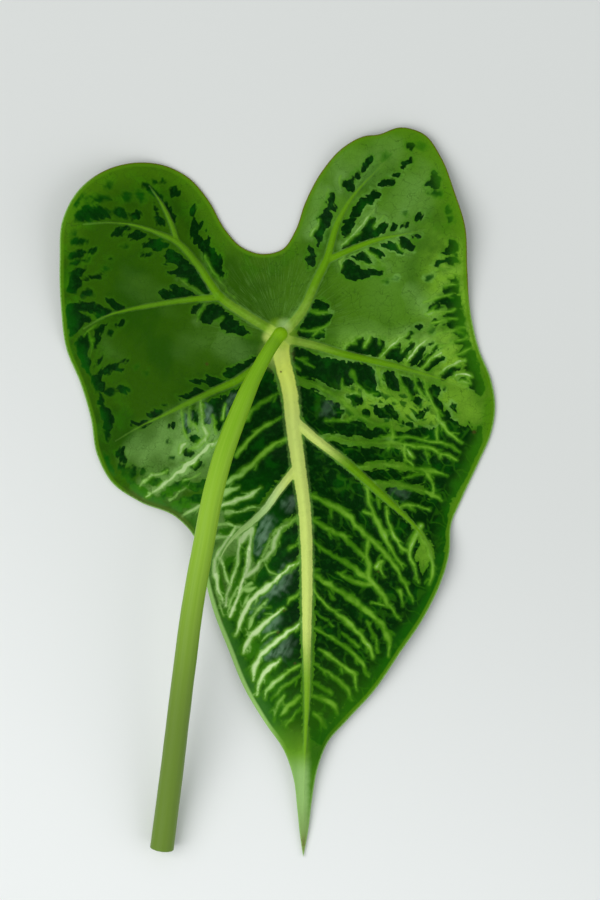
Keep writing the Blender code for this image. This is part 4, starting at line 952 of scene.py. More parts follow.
# %% The height of the sheet
# Places along the leaf, each with the height of the midrib there, or with how steeply the sides fall from it.
MIDDLE_HEIGHT = [(60, 0.0), (19, 0.0), (1, 0.0), (-18, 2.3), (-48, 7.6), (-80, 5.2), (-100, 2.0), (-116, 0.0)]
SIDE_FALL = [
    (60, -0.15), (32, -0.16), (12, -0.10), (-2, -0.01), (-20, 0.08), (-45, 0.22), (-80, 0.30), (-116, 0.1),
]
FOLD_ROUNDING = 7.0
QUILT_DEPTH = 1.1
QUILT_REACH = 9.0
# How many waves go round the leaf, where they start and how high they are.
RIPPLES = [(5, 0.6, 0.9), (8, 2.1, 0.55), (13, 4.0, 0.3)]
RIPPLE_CENTRE = (0.0, -14.0)
RIPPLE_REACH = 50.0
RIPPLE_LIMIT = 1.2
THICKNESS = 0.7
TOUCH = 0.25


def smooth_value(table, at):
    """A value read from a short table of (place, value) pairs, eased between them."""
    places, values = (np.array(column, float) for column in zip(*sorted(table)))
    return eased_between(places, values, at)


def lie_of_blade(points, field):
    """The height of the underside of the sheet above what it lies on."""
    x, y = points[:, 0], points[:, 1]
    midrib = rib_lines[0][::-1]
    from_middle = x - np.interp(y, midrib[:, 1], midrib[:, 0])
    fall = np.sqrt(from_middle**2 + FOLD_ROUNDING**2) - FOLD_ROUNDING
    height = smooth_value(MIDDLE_HEIGHT, y) - smooth_value(SIDE_FALL, y) * fall
    reach = np.hypot(x - RIPPLE_CENTRE[0], y - RIPPLE_CENTRE[1]) / RIPPLE_REACH
    turn = np.arctan2(y - RIPPLE_CENTRE[1], x - RIPPLE_CENTRE[0])
    for waves, phase, rise in RIPPLES:
        height += rise * np.sin(waves * turn + phase) * np.clip(reach, 0.0, RIPPLE_LIMIT) ** 3
    height -= QUILT_DEPTH * smoothstep(0.0, QUILT_REACH, field["rib_away"])
    return (height + np.sqrt(height**2 + TOUCH**2)) / 2


print("the midrib's underside stands up to", max(rise for _, rise in MIDDLE_HEIGHT), "mm high")

# %% [markdown]
# The blade.
# Its two faces are separate sheets of triangles that share the margin. The ribbed face is cut fine enough to
# carry the side veins as real relief; the other one is plain and coarser. A triangulation that keeps to given
# lines puts edges along every rib, so their flanks stay crisp. A grid of squares would make stairs there.

# %% Two sheets sewn at the margin
UNDERSIDE_STEP = 0.39
FACE_STEP = 0.85
# Where the guides beside a rib run, in its half widths.
SHOULDERS = (-1.4, -0.9, -0.4, 0.0, 0.4, 0.9, 1.4)
# How far the guides keep from the joint, from the margin, from other ribs' guides and from other lines.
JOINT_ROOM, MARGIN_ROOM, RIB_ROOM, LINE_ROOM = 3.6, 0.5, 0.35, 0.3
GRID_ROOM = 0.55
MERGE_WITHIN = 0.001
VEIN_RISE = 0.16
CUSHION_DEPTH = 0.2
RIM_SHARE, RIM_REACH = 0.45, 2.5
STORED = ("edge", "rib", "rib_tone", "vein", "vein_tone", "dark", "strength", "fine", "sheen", "bleach")


def guides_of_lines():
    """Points and edges beside each rib and along each pale vein that the triangles keep to."""
    points, edges = [], []
    owned = np.zeros((0, 2))

    def keep(line, clear):
        """Adds the clear points of a line, and an edge wherever two of them follow each other."""
        kept, first = np.flatnonzero(clear), sum(map(len, points))
        points.append(line[kept])
        edges.extend((first + i, first + i + 1) for i in np.flatnonzero(np.diff(kept) == 1).tolist())

    for line, (_, widths, _) in zip(rib_lines, RIBS.values()):
        ahead = np.gradient(line, axis=0)
        ahead /= np.linalg.norm(ahead, axis=1)[:, None]
        across = np.stack([-ahead[:, 1], ahead[:, 0]], axis=1)
        half_width = np.linspace(widths[0], widths[1], len(line))[:, None]
        sides = [line + across * half_width * share for share in SHOULDERS]
        for side in sides:
            clear = np.linalg.norm(side, axis=1) > JOINT_ROOM
            clear &= nearest(margin_tree, side)[1] > MARGIN_ROOM
            if len(owned):
                clear &= nearest(tree_of(owned), side)[1] > RIB_ROOM
            keep(side, clear)
        owned = np.concatenate([owned, *sides])
    for line in pale_lines:
        # A twig starts inside its vein, so its first point is left out.
        spine = line[:, :2] if len(line) > len(THORN_HALF_WIDTHS) else line[1:, :2]
        clear = nearest(tree_of(owned), spine)[1] > LINE_ROOM
        keep(spine, clear & (nearest(margin_tree, spine)[1] > MARGIN_ROOM))
        owned = np.concatenate([owned, spine])
    return np.concatenate(points), edges


def flat_sheet(step, guides, guide_edges):
    """Points and triangles of the flat sheet: its outline's points come first."""
    low, high = outline.min(axis=0), outline.max(axis=0)
    rows = np.arange(low[1], high[1], step * math.sqrt(0.75))
    columns = np.arange(low[0], high[0], step)
    grid = np.concatenate([
        np.stack([columns + step / 2 * (i % 2), np.full(len(columns), y)], axis=1) for i, y in enumerate(rows)
    ])
    grid = grid[inside(grid, outline)]
    fixed = np.concatenate([outline, guides])
    grid = grid[nearest(tree_of(fixed), grid)[1] > step * GRID_ROOM]
    ring = [(i, (i + 1) % len(outline)) for i in range(len(outline))]
    edges = ring + [(a + len(outline), b + len(outline)) for a, b in guide_edges]
    points = np.concatenate([fixed, grid])
    flat, _, triangles, *_ = delaunay_2d_cdt(
        [Vector(p) for p in points], edges, [list(range(len(outline)))], 1, MERGE_WITHIN
    )
    return np.array([tuple(p) for p in flat]), np.array([tuple(t) for t in triangles])


def margin_ring(flat):
    """The sheet's own index of each point of the outline."""
    index, away = nearest(tree_of(flat), outline)
    assert away.max() < MERGE_WITHIN
    return index


def wall_share(edge):
    """The sheet's share of its full thickness, which thins towards the margin."""
    return RIM_SHARE + (1 - RIM_SHARE) * smoothstep(0.0, RIM_REACH, edge)


def blade_mesh():
    """The whole blade as one closed mesh, with the stored values that its finish reads."""
    guides, guide_edges = guides_of_lines()
    under, under_triangles = flat_sheet(UNDERSIDE_STEP, guides, guide_edges)
    # The plain face keeps to no lines; a single point near the joint stands in for them.
    face, face_triangles = flat_sheet(FACE_STEP, np.array([[0.0, -1.0]]), [])
    under_field, face_field = leaf_fields(under), leaf_fields(face)
    vein, edge = under_field["vein"], under_field["edge"]
    veins_up = VEIN_RISE * smoothstep(0.45, -0.25, vein) * smoothstep(0.0, 1.5, edge)
    sag = CUSHION_DEPTH * smoothstep(0.0, 1.6, vein) * smoothstep(0.0, 3.0, edge)
    top = lie_of_blade(under, under_field) + THICKNESS / 2 + THICKNESS * wall_share(edge) / 2
    top += np.maximum(under_field["relief"], veins_up) - np.where(under_field["rib"] > 0, 0.0, sag)
    bottom = lie_of_blade(face, face_field) + THICKNESS / 2 * (1 - wall_share(face_field["edge"]))
    places = np.concatenate([np.column_stack([under, top]), np.column_stack([face, bottom])])
    places[:, :2] += joint
    upper_ring, lower_ring = margin_ring(under), margin_ring(face) + len(under)
    a, b = upper_ring, np.roll(upper_ring, -1)
    c, d = lower_ring, np.roll(lower_ring, -1)
    rim = np.concatenate([np.column_stack([a, c, d]), np.column_stack([a, d, b])])
    triangles = np.concatenate([under_triangles, face_triangles[:, ::-1] + len(under), rim])
    mesh = bpy.data.meshes.new("leaf_blade")
    mesh.from_pydata((places * MM).tolist(), [], triangles.tolist())
    for name in STORED:
        values = np.concatenate([under_field[name], face_field[name]]).astype(np.float32)
        mesh.attributes.new(name, "FLOAT", "POINT").data.foreach_set("value", values)
    is_face = np.concatenate([np.zeros(len(under)), np.ones(len(face))]).astype(np.float32)
    mesh.attributes.new("velvet", "FLOAT", "POINT").data.foreach_set("value", is_face)
    mesh.shade_smooth()
    return mesh


blade = bpy.data.objects.new("leaf_blade", blade_mesh())
bpy.context.scene.collection.objects.link(blade)
blade.data.validate()
print("blade triangles", len(blade.data.polygons))

# %% [markdown]
# Shader maths.
# The blade's colour is arithmetic on the values stored above. Wrapping a socket in a small class lets that
# arithmetic be written as plain Python, and each operator adds its own node. Laying out hundreds of nodes by
# hand would hide the idea behind the wiring.


# %% A socket that can be added and multiplied
class Term:
    """A socket of a shader's or a shape's tree of nodes that takes part in sums."""

    def __init__(self, tree, socket):
        self.tree, self.socket = tree, socket

    def node(self, kind, settings=(), inputs=(), output=0):
        """Adds a node of that type with its settings, then fills its inputs with values or links."""
        made = self.tree.nodes.new(kind)
        for name, value in dict(settings).items():
            setattr(made, name, value)
        for key, value in dict(inputs).items():
            if isinstance(value, Term):
                self.tree.links.new(value.socket, made.inputs[key])
            else:
                made.inputs[key].default_value = value
        return Term(self.tree, made.outputs[output])

    def maths(self, operation, *values):
        return self.node("ShaderNodeMath", {"operation": operation}, dict(enumerate((self, *values))))

    def __add__(self, other):
        return self.maths("ADD", other)

    __radd__ = __add__

    def __sub__(self, other):
        return self.maths("SUBTRACT", other)

    def __rsub__(self, other):
        return self.maths("MULTIPLY", -1.0) + other

    def __mul__(self, other):
        return self.maths("MULTIPLY", other)

    __rmul__ = __mul__

    def __pow__(self, other):
        return self.maths("POWER", other)

    def above(self, low, high):
        """0 below low, 1 above high, eased between; low may be the larger."""
        settings = {"interpolation_type": "SMOOTHSTEP"}
        if low < high:
            inputs = {0: self, 1: low, 2: high, 3: 0.0, 4: 1.0}
        else:
            inputs = {0: self, 1: high, 2: low, 3: 1.0, 4: 0.0}
        return self.node("ShaderNodeMapRange", settings, inputs)

    def noise(self, vector, scale, detail=2.0, roughness=0.5):
        inputs = {"Vector": vector, "Scale": scale, "Detail": detail, "Roughness": roughness}
        return self.node("ShaderNodeTexNoise", {}, inputs)

    def cells(self, vector, scale):
        """How far each place is from the border of its cell, in a pattern of random cells."""
        inputs = {"Vector": vector, "Scale": scale, "Randomness": 1.0}
        return self.node("ShaderNodeTexVoronoi", {"feature": "DISTANCE_TO_EDGE"}, inputs)

    def stretched(self, vector, stretch, turn):
        """Coordinates for a pattern that is stretched along axes turned by some degrees."""
        inputs = {"Vector": vector, "Scale": stretch, "Rotation": (0.0, 0.0, math.radians(turn))}
        return self.node("ShaderNodeMapping", {"vector_type": "TEXTURE"}, inputs)


def mix(share, first, second):
    """The first colour where the share is 0, and the second where it is 1."""
    return share.node("ShaderNodeMix", {"data_type": "RGBA"}, {0: share, 6: first, 7: second}, 2)


def colour(red, green, blue):
    """A colour as a screen shows it, 0 to 255, made linear."""
    parts = [c / 255 for c in (red, green, blue)]
    return (*(c / 12.92 if c <= 0.04045 else ((c + 0.055) / 1.055) ** 2.4 for c in parts), 1.0)


def new_material(name, roughness, **constants):
    """A material with its Principled shader's constants set, and the first term of its tree."""
    material = bpy.data.materials.new(name)
    material.use_nodes = True
    shader = material.node_tree.nodes["Principled BSDF"]
    shader.inputs["Roughness"].default_value = roughness
    for key, value in constants.items():
        shader.inputs[key.replace("_", " ")].default_value = value
    return material, shader, Term(material.node_tree, None)


def attribute(term, name):
    return term.node("ShaderNodeAttribute", {"attribute_name": name}, {}, "Fac")


def feed(term, shader, socket):
    term.tree.links.new(term.socket, shader.inputs[socket])


print("middle grey, linear", round(colour(128, 128, 128)[0], 3))

# %% [markdown]
# The tattooed blade's finish.
# Living leaf is never one green. The plain ground has soft clouds, a fine mesh of darker cells and bleached
# places, with painted shade on its left and painted light on its right. The dark islands have frayed edges, a
# painted sheen on them and a paler line round them. The veins are pale with green shoulders, the ribs go from
# yellow-green at the joint to the ground's own green, and the margin, the tip and a few old marks have
# colours of their own. Low on the left, painted light makes all of these a little paler, and the joint is
# brightened with painted light and a painted highlight. Each layer is a mask times a colour, and the layers
# are mixed in turn, the way a painter works from the ground up. A painted picture would be quicker, but its
# dots would show close up.

# %% The blade's greens
# The ground's left and right greens hold painted shade and painted light.
GROUND_LEFT_PAINTED_SHADE = colour(44, 86, 1)
GROUND_RIGHT_PAINTED_LIGHT = colour(76, 124, 24)
GROUND_FRESH = colour(52, 116, 2)
GROUND_DEEP = colour(18, 68, 1)
GROUND_PALE = colour(116, 162, 78)
GROUND_LIME = colour(126, 178, 44)
GROUND_MESH = colour(38, 76, 8)
WEB_LEFT_PAINTED_SHADE = colour(46, 84, 2)
WEB_RIGHT_PAINTED_LIGHT = colour(60, 103, 6)
DARK = colour(1, 38, 1)
DARK_LIFT_AND_PAINTED_HIGHLIGHT = colour(14, 68, 8)
DARK_GREEN = colour(10, 82, 1)
HALO = colour(60, 120, 8)
HALO_MINT = colour(120, 172, 78)
VEIN_HALO = colour(54, 120, 6)
VEIN_DEEP = colour(66, 122, 8)
VEIN_GREEN = colour(110, 165, 42)
VEIN_MINT_IN_PAINTED_LIGHT = colour(144, 194, 96)
VEIN_PALE = colour(204, 232, 166)
RIB_FLANK = colour(112, 160, 70)
RIB = colour(94, 146, 10)
RIB_START = colour(150, 196, 40)
MIDRIB = colour(202, 221, 114)
MIDRIB_PAINTED_LIGHT = colour(232, 248, 96)
MIDRIB_END = colour(116, 168, 28)
RIB_MINT_IN_PAINTED_LIGHT = colour(196, 230, 154)
MARGIN_BAND = colour(80, 130, 10)
MARGIN_PALE_AND_PAINTED_LIGHT = colour(152, 198, 108)
MARGIN_LINE = colour(110, 96, 12)
MARGIN_GREEN = colour(52, 110, 6)
MARGIN_GREY_PAINTED_SHEEN = colour(62, 116, 40)
PAINTED_SHEEN_TINT = colour(116, 156, 122)
JOINT_PAINTED_HIGHLIGHT = colour(190, 224, 160)
PALE_CORNER = colour(212, 226, 120)
FOOT_BROWN = colour(64, 76, 34)
SPECK = colour(70, 56, 22)
TIP_FRESH = colour(116, 168, 42)
TIP_PALE = colour(156, 198, 116)
TIP_GREEN = colour(70, 126, 20)
TIP_DULL = colour(112, 138, 72)
TIP_BROWN = colour(104, 104, 46)
print("ground, linear", [round(part, 3) for part in GROUND_RIGHT_PAINTED_LIGHT[:3]])

# %% Stored values, places and patterns
leaf_green, shader, t = new_material("leaf_green", 0.4, Specular_IOR_Level=0.03, Coat_Roughness=0.3)
edge, rib, rib_tone, vein, vein_tone, dark, strength, fine, sheen, bleach, velvet = (
    attribute(t, name) for name in (*STORED, "velvet")
)
place = t.node("ShaderNodeTexCoord", {}, {}, "Object")
per_mm = 1 / MM
# Millimetres from the joint, to the right and towards the lobes.
across, upward = (
    t.node("ShaderNodeSeparateXYZ", {}, {0: place}, axis) * per_mm - float(joint[axis]) for axis in (0, 1)
)
from_joint = (across * across + upward * upward) ** 0.5


def drifting(scale, detail, reach):
    """Places pushed aside by a slow noise, up to the reach in mm, so that a pattern on them isn't even."""
    inputs = {"Vector": place, "Scale": scale * per_mm, "Detail": detail}
    push = t.node("ShaderNodeTexNoise", {}, inputs, "Color")
    inputs = {0: push, 1: (reach * MM,) * 3, 2: place}
    return t.node("ShaderNodeVectorMath", {"operation": "MULTIPLY_ADD"}, inputs)


clouds = t.noise(place, 0.07 * per_mm, 4.0)
patches = t.noise(place, 0.25 * per_mm, 4.0)
grain = t.noise(place, 0.9 * per_mm, 3.0)
fray = t.noise(place, 0.9 * per_mm, 3.0, 0.6) * 0.6 - 0.3
streaks = t.noise(t.stretched(place, (1.7, 0.55, 1.0), 56.0), 0.5 * per_mm, 3.0)
drift, gentle = drifting(0.4, 3.0, 4.0), drifting(0.3, 1.0, 3.0)
net = t.cells(t.stretched(drift, (1.5, 0.9, 1.0), 25.0), 0.42 * per_mm).above(0.035, 0.0)
fine_net = t.cells(drift, 1.3 * per_mm).above(0.09, 0.0)
links = t.cells(t.stretched(gentle, (2.0, 1.0, 1.0), -42.0), 0.36 * per_mm).above(0.1, 0.02)
blots = t.cells(t.stretched(gentle, (1.3, 0.9, 1.0), -30.0), 0.42 * per_mm).above(0.12, 0.24)
print("patterns ready, nodes", len(t.tree.nodes))

# %% The ground
# Partly the ground's own green, partly painted shade and light: darker and greener on the left, lighter on
# the right. Greener towards the margin, bleached in clouds and near the joint.
ground = mix((across + clouds * 30.0 - 15.0).above(-22.0, 14.0), GROUND_LEFT_PAINTED_SHADE, GROUND_RIGHT_PAINTED_LIGHT)
fresh = patches.above(0.45, 0.65) * (edge + clouds * 16.0).above(22.0, 8.0)
ground = mix(fresh * 0.8, ground, GROUND_FRESH)
ground = mix(clouds.above(0.54, 0.4) * 0.45, ground, GROUND_DEEP)
lobe_edge = edge.above(7.0, 1.0) * upward.above(12.0, 26.0)
ground = mix(lobe_edge * 0.55, ground, MARGIN_BAND)
right_edge = edge.above(3.4, 1.2) * across.above(26.0, 36.0)
ground = mix(right_edge * 0.5, ground, MARGIN_BAND)
right_corner = across.above(28.0, 36.0) * upward.above(-9.0, -2.0) * upward.above(26.0, 14.0)
ground = mix(right_corner * patches.above(0.3, 0.6) * 0.7, ground, GROUND_LIME)
lime_side = across.above(6.0, 16.0) * upward.above(4.0, -6.0)
glow = (vein + fray).above(1.6, 0.1) * (vein_tone - 0.1) * 0.7
ground = mix(bleach * (patches * 0.8 + 0.55) + glow, ground, mix(lime_side, GROUND_PALE, GROUND_LIME))

# The web of the notch is smooth and plain, with painted shade on its left and painted light on its right, and
# pale hairs that fan out from the joint.
web = upward.above(-1.0, 4.0) * from_joint.above(27.0, 12.0) * 0.6
ground = mix(web, ground, mix(across.above(-5.0, 7.0), WEB_LEFT_PAINTED_SHADE, WEB_RIGHT_PAINTED_LIGHT))
bearing = across.maths("ARCTAN2", upward)
fan = t.node("ShaderNodeCombineXYZ", {}, {0: bearing * 60.0, 1: from_joint * 0.25, 2: 0.0})
hairs = t.noise(fan, 1.0, 2.0).above(0.45, 0.75) * upward.above(-1.0, 2.0) * from_joint.above(24.0, 6.0)
ground = mix(hairs * 0.32, ground, GROUND_PALE)
threads = net * patches.above(0.35, 0.55) * 0.5 + fine_net * 0.12 + fine.above(0.3, 0.0) * 0.1
ground = mix(threads, ground, GROUND_MESH)

# A paler line runs round the islands, minty in the middle of the right half.
halo = (dark + fray * 1.6).above(-0.8, 0.0) * (across.above(-22.0, -8.0) * 0.35 + 0.2)
minty = across.above(5.0, 12.0) * upward.above(-28.0, -18.0) * patches.above(0.4, 0.65)
surface = mix(halo, ground, mix(minty * edge.above(4.0, 9.0), HALO, HALO_MINT))
print("ground laid, nodes", len(t.tree.nodes))

# %% The tattoo
# Small dark dabs lie loose on the ground right of the midrib, below the upper rib.
dabs_across = across.above(11.0, 17.0) * across.above(37.0, 31.0)
dabs_along = upward.above(-8.0, -13.0) * upward.above(-25.0, -20.0)
dabs = blots * patches.above(0.36, 0.46) * dabs_across * dabs_along
surface = mix(dabs * 0.85, surface, mix(grain, DARK_LIFT_AND_PAINTED_HIGHLIGHT, DARK_GREEN))

# The islands are near black within, and rich green where they are weak or close to the margin.
slit = fine.above(0.36, 0.1)
crisp = (strength * 2.0 - 0.85) * (across.above(-30.0, -16.0) * 0.45 + 0.55)
dark_mask = ((dark + fray * 0.9 - slit * 0.3 + 0.06) * crisp).above(-0.12, 0.16)
deep = strength.above(0.35, 0.85) * (edge + patches * 6.0).above(3.5, 7.0)
# In a grain the near black is lifted: a painted highlight on the puckers.
dark_tone = mix(deep, DARK_GREEN, mix(grain.above(0.48, 0.75) * 0.6, DARK, DARK_LIFT_AND_PAINTED_HIGHLIGHT))
dark_tone = mix(patches.above(0.52, 0.72) * 0.55 + slit * 0.06, dark_tone, DARK_GREEN)
dark_tone = mix(upward.above(-66.0, -88.0) * 0.5, dark_tone, MARGIN_GREEN)

# On the right, faint green links cross the dark, and its edge by the margin turns green.
linked = links * across.above(3.0, 11.0) * upward.above(-8.0, -14.0)
dark_tone = mix(linked * (patches + grain * 0.3).above(0.52, 0.74) * 0.3, dark_tone, VEIN_HALO)
marginal = (edge + patches * 3.0).above(6.6, 2.8) * across.above(8.0, 16.0)
dark_tone = mix(marginal * (upward.above(-44.0, -22.0) * 0.5 + 0.14), dark_tone, MARGIN_GREEN)

# Painted light: low on the left, where the blade leans towards the light, the dark, the veins, the ribs and
# the margin are a little paler, and a painted sheen greys the strip by the margin.
painted_light_side = across.above(3.0, -4.0) * upward.above(-27.0, -35.0)
dark_tone = mix(painted_light_side * (patches * 0.6 + grain * 0.5), dark_tone, DARK_GREEN)
outer_part = painted_light_side * edge.above(13.0, 4.0) * (patches + grain * 0.4).above(0.52, 0.8)
dark_tone = mix(outer_part * 0.8, dark_tone, VEIN_HALO)
dark_tone = mix(painted_light_side * (edge + patches * 3.0).above(5.0, 2.4) * 0.6, dark_tone, MARGIN_GREY_PAINTED_SHEEN)

# Painted sheen: where the dark puckers, it is greyed as a reflection greys it, more so on the left; the same
# mask gives a thin clear coat.
painted_sheen_and_coat = sheen * streaks.above(0.24, 0.62)
dark_tone = mix(painted_sheen_and_coat * (across.above(4.0, -2.0) * 0.4 + 0.16), dark_tone, PAINTED_SHEEN_TINT)
dark_share = dark_mask * strength.above(0.1, 0.7) * (edge + fray).above(0.5, 1.1)
surface = mix(dark_share, surface, dark_tone)
print("tattoo laid, nodes", len(t.tree.nodes))

# %% The pale veins
# A green shoulder where a vein crosses the dark, then a core that pales with the vein's tone.
shoulder = (vein + fray * 1.4).above(0.5, 0.0) * 0.55 + (vein + fray).above(0.9, 0.0) * vein_tone * 0.5
surface = mix(shoulder * dark_mask, surface, mix(vein_tone * 0.5, VEIN_HALO, VEIN_GREEN))
vein_mask = (vein + fray * 0.7).above(0.18, -0.2)
core = (vein + fray * 0.5).above(0.05, -0.6)
level = vein_tone * 0.5 + core * (vein_tone * 0.9 + 0.1) + patches * 0.6 + grain * 0.4 - 0.46
vein_body = mix(painted_light_side, VEIN_GREEN, VEIN_MINT_IN_PAINTED_LIGHT)
vein_colour = mix(level.above(0.0, 0.4), VEIN_DEEP, mix(level.above(0.35, 1.1), vein_body, VEIN_PALE))
whole = (vein_tone + patches * 1.2).above(0.4, 0.8) * 0.4 + 0.6
whole = whole - across.above(-6.0, -12.0) * upward.above(0.0, 4.0) * 0.4
surface = mix(vein_mask * (dark_mask * 0.35 + 0.6) * whole, surface, vein_colour)
print("veins laid, nodes", len(t.tree.nodes))

# %% The margin's band and the ribs
band = (edge + clouds * 0.6 - 0.3).above(1.15, 0.6)
# Low on the left the band is paler: partly its own pale mint, partly painted light against the shade where
# the margin curls down.
pale_edge_in_painted_light = painted_light_side * upward.above(-44.0, -56.0)
surface = mix(band * (pale_edge_in_painted_light * 0.2 + 0.75), surface, mix(pale_edge_in_painted_light, MARGIN_BAND, MARGIN_PALE_AND_PAINTED_LIGHT))
flank = (rib + fray * 1.2).above(-0.5, -0.15) * (patches * 0.7) * rib_tone.above(-0.4, 0.4)
surface = mix(flank, surface, RIB_FLANK)
rib_colour = mix((rib_tone + fray * 0.25).above(0.3, 0.9), RIB, mix(painted_light_side, MIDRIB, RIB_MINT_IN_PAINTED_LIGHT))
# Painted light: by the joint the midrib is brightened against the stalk's shadow.
rib_colour = mix(rib_tone.above(0.8, 1.0) * upward.above(-20.0, -4.0) * 0.7, rib_colour, MIDRIB_PAINTED_LIGHT)
rib_colour = mix(upward.above(-64.0, -77.0) * 0.8, rib_colour, MIDRIB_END)
rib_colour = mix(grain.above(0.5, 0.8) * 0.15, rib_colour, RIB_FLANK)
rib_mask = ((rib + fray * 0.6) * (rib_tone * 2.0 + 2.0)).above(-0.3, 0.6)
surface = mix(rib_mask * rib_tone.above(-0.35, 0.2), surface, rib_colour)
surface = mix(from_joint.above(4.4, 2.2) * 0.5, surface, RIB_START)
print("ribs laid, nodes", len(t.tree.nodes))

# %% Small marks, the margin's brown foot and the tip
# Each mark: a place on the drawing grid, a half width in mm, how strong the mark is, and its colour.
# The mark just above the joint is a painted highlight; the specks are the leaf's own.
MARKS = [
    (276, 354, 2.6, 0.5, MIDRIB), (284, 326, 1.3, 0.45, JOINT_PAINTED_HIGHLIGHT), (268, 337, 1.0, 0.6, PALE_CORNER),
    (281, 372, 0.2, 0.9, SPECK), (284, 609, 0.3, 0.6, SPECK), (278, 631, 0.35, 0.6, SPECK),
    (295, 662, 0.3, 0.6, SPECK), (207, 364, 0.35, 0.7, SPECK), (474, 432, 0.4, 0.7, SPECK),
    (378, 571, 0.25, 0.6, SPECK),
]
for x, y, half, strong, tint in MARKS:
    aside, over = (axis - value for axis, value in zip((across, upward), on_leaf(x, y)))
    away = (aside * aside + over * over) ** 0.5 + fray * 0.3
    surface = mix(away.above(half * 1.8, 0.0) * strong, surface, tint)

# The margin is brownish at the foot of the left half.
brown_foot_across = across.above(-36.0, -32.0) * across.above(-17.0, -21.0)
brown_foot = (edge + fray).above(1.8, 0.5) * brown_foot_across * upward.above(-27.0, -31.0)
surface = mix(brown_foot * 0.6, surface, FOOT_BROWN)

# The drip tip: fresh on its left flank, greener on its right, and dry at its end.
right_side = (across + grain * 0.8).above(5.6, 7.6)
tip_left = mix(upward.above(-91.0, -97.0), TIP_FRESH, TIP_PALE)
tip_right = mix(upward.above(-90.0, -98.0), DARK_GREEN, TIP_GREEN)
tip_colour = mix(right_side, mix(across.above(4.6, 3.2) * 0.25, tip_left, TIP_GREEN), tip_right)
surface = mix((upward + clouds * 6.0).above(-79.0, -92.0) * 0.85, surface, tip_colour)
surface = mix(upward.above(-101.0, -110.0) * 0.6, surface, TIP_DULL)
surface = mix((upward + grain).above(-108.0, -112.5) * 0.85, surface, TIP_BROWN)

# The very edge is a thin pale line, and a brown one at the left lobe.
brown_part = upward.above(2.0, 12.0) * across.above(-45.0, -38.0)
surface = mix(edge.above(0.4, 0.08) * 0.7, surface, mix(brown_part, MARGIN_PALE_AND_PAINTED_LIGHT, MARGIN_LINE))
print("marks laid, nodes", len(t.tree.nodes))

# %% Feeding the blade's shader
feed(surface, shader, "Base Color")
feed(dark_mask * -0.04 + grain * 0.12 + velvet * 0.25 + 0.36, shader, "Roughness")
feed(painted_sheen_and_coat * 0.22, shader, "Coat Weight")
bump_height = fine_net * -0.2 + grain * 0.6 + t.noise(place, 0.35 * per_mm, 3.0) * 1.4
bump = t.node("ShaderNodeBump", {}, {"Strength": 0.45, "Distance": 0.3 * MM, "Height": bump_height})
feed(bump, shader, "Normal")
blade.data.materials.append(leaf_green)
print("blade material nodes", len(leaf_green.node_tree.nodes))

# %% [markdown]
# The stalk.
# It is one long tapered sweep: straight up out of the joint, over in a bend and down to its cut end. A sweep
# is what Geometry Nodes do best. The route is a curve whose points carry their radii; the tree resamples it,
# sweeps a ring along it, raises the ring into fine ridges and records how far along and round each point is,
# for the finish. A modelled cylinder would have to be bent by hand.

# %% The stalk's tree of nodes
STALK_ROUTE = [
    (0.1, 0.1, 1.4), (0.1, 0.1, 3.05), (0.1, 0.1, 4.6), (-1.5, -2.2, 7.6), (-5.6, -9.6, 11.3),
    (-9.4, -18.6, 14.0), (-12.5, -27.5, 16.0), (-14.7, -36.3, 17.3), (-16.3, -45.1, 17.8),
    (-17.8, -53.1, 17.4), (-19.1, -61.0, 16.4), (-20.5, -71.5, 14.3), (-21.9, -82.1, 11.3),
    (-23.2, -92.6, 8.1), (-24.6, -103.0, 4.9), (-25.9, -112.6, 2.56),
]
# Shares of the stalk's length, each with the radius there.
STALK_RADII = [(0.0, 1.65), (0.03, 1.5), (0.1, 1.52), (0.19, 2.0), (0.3, 2.18), (0.6, 2.4), (1.0, 2.62)]
STALK_STEP = 0.8
RIDGE_DEPTH = 0.02
UNEVENNESS = 0.12
LUMPS_TO_A_MM = 0.16
# What the tree is given: name, kind and, where it has one, its usual value.
SWEEP_INPUTS = [
    ("Geometry", "Geometry", None), ("Step", "Float", 0.4 * MM), ("Ring points", "Int", 48),
    ("Ridges", "Float", 14.0), ("Ridge depth", "Float", 0.0), ("Unevenness", "Float", 0.0),
    ("Material", "Material", None),
]


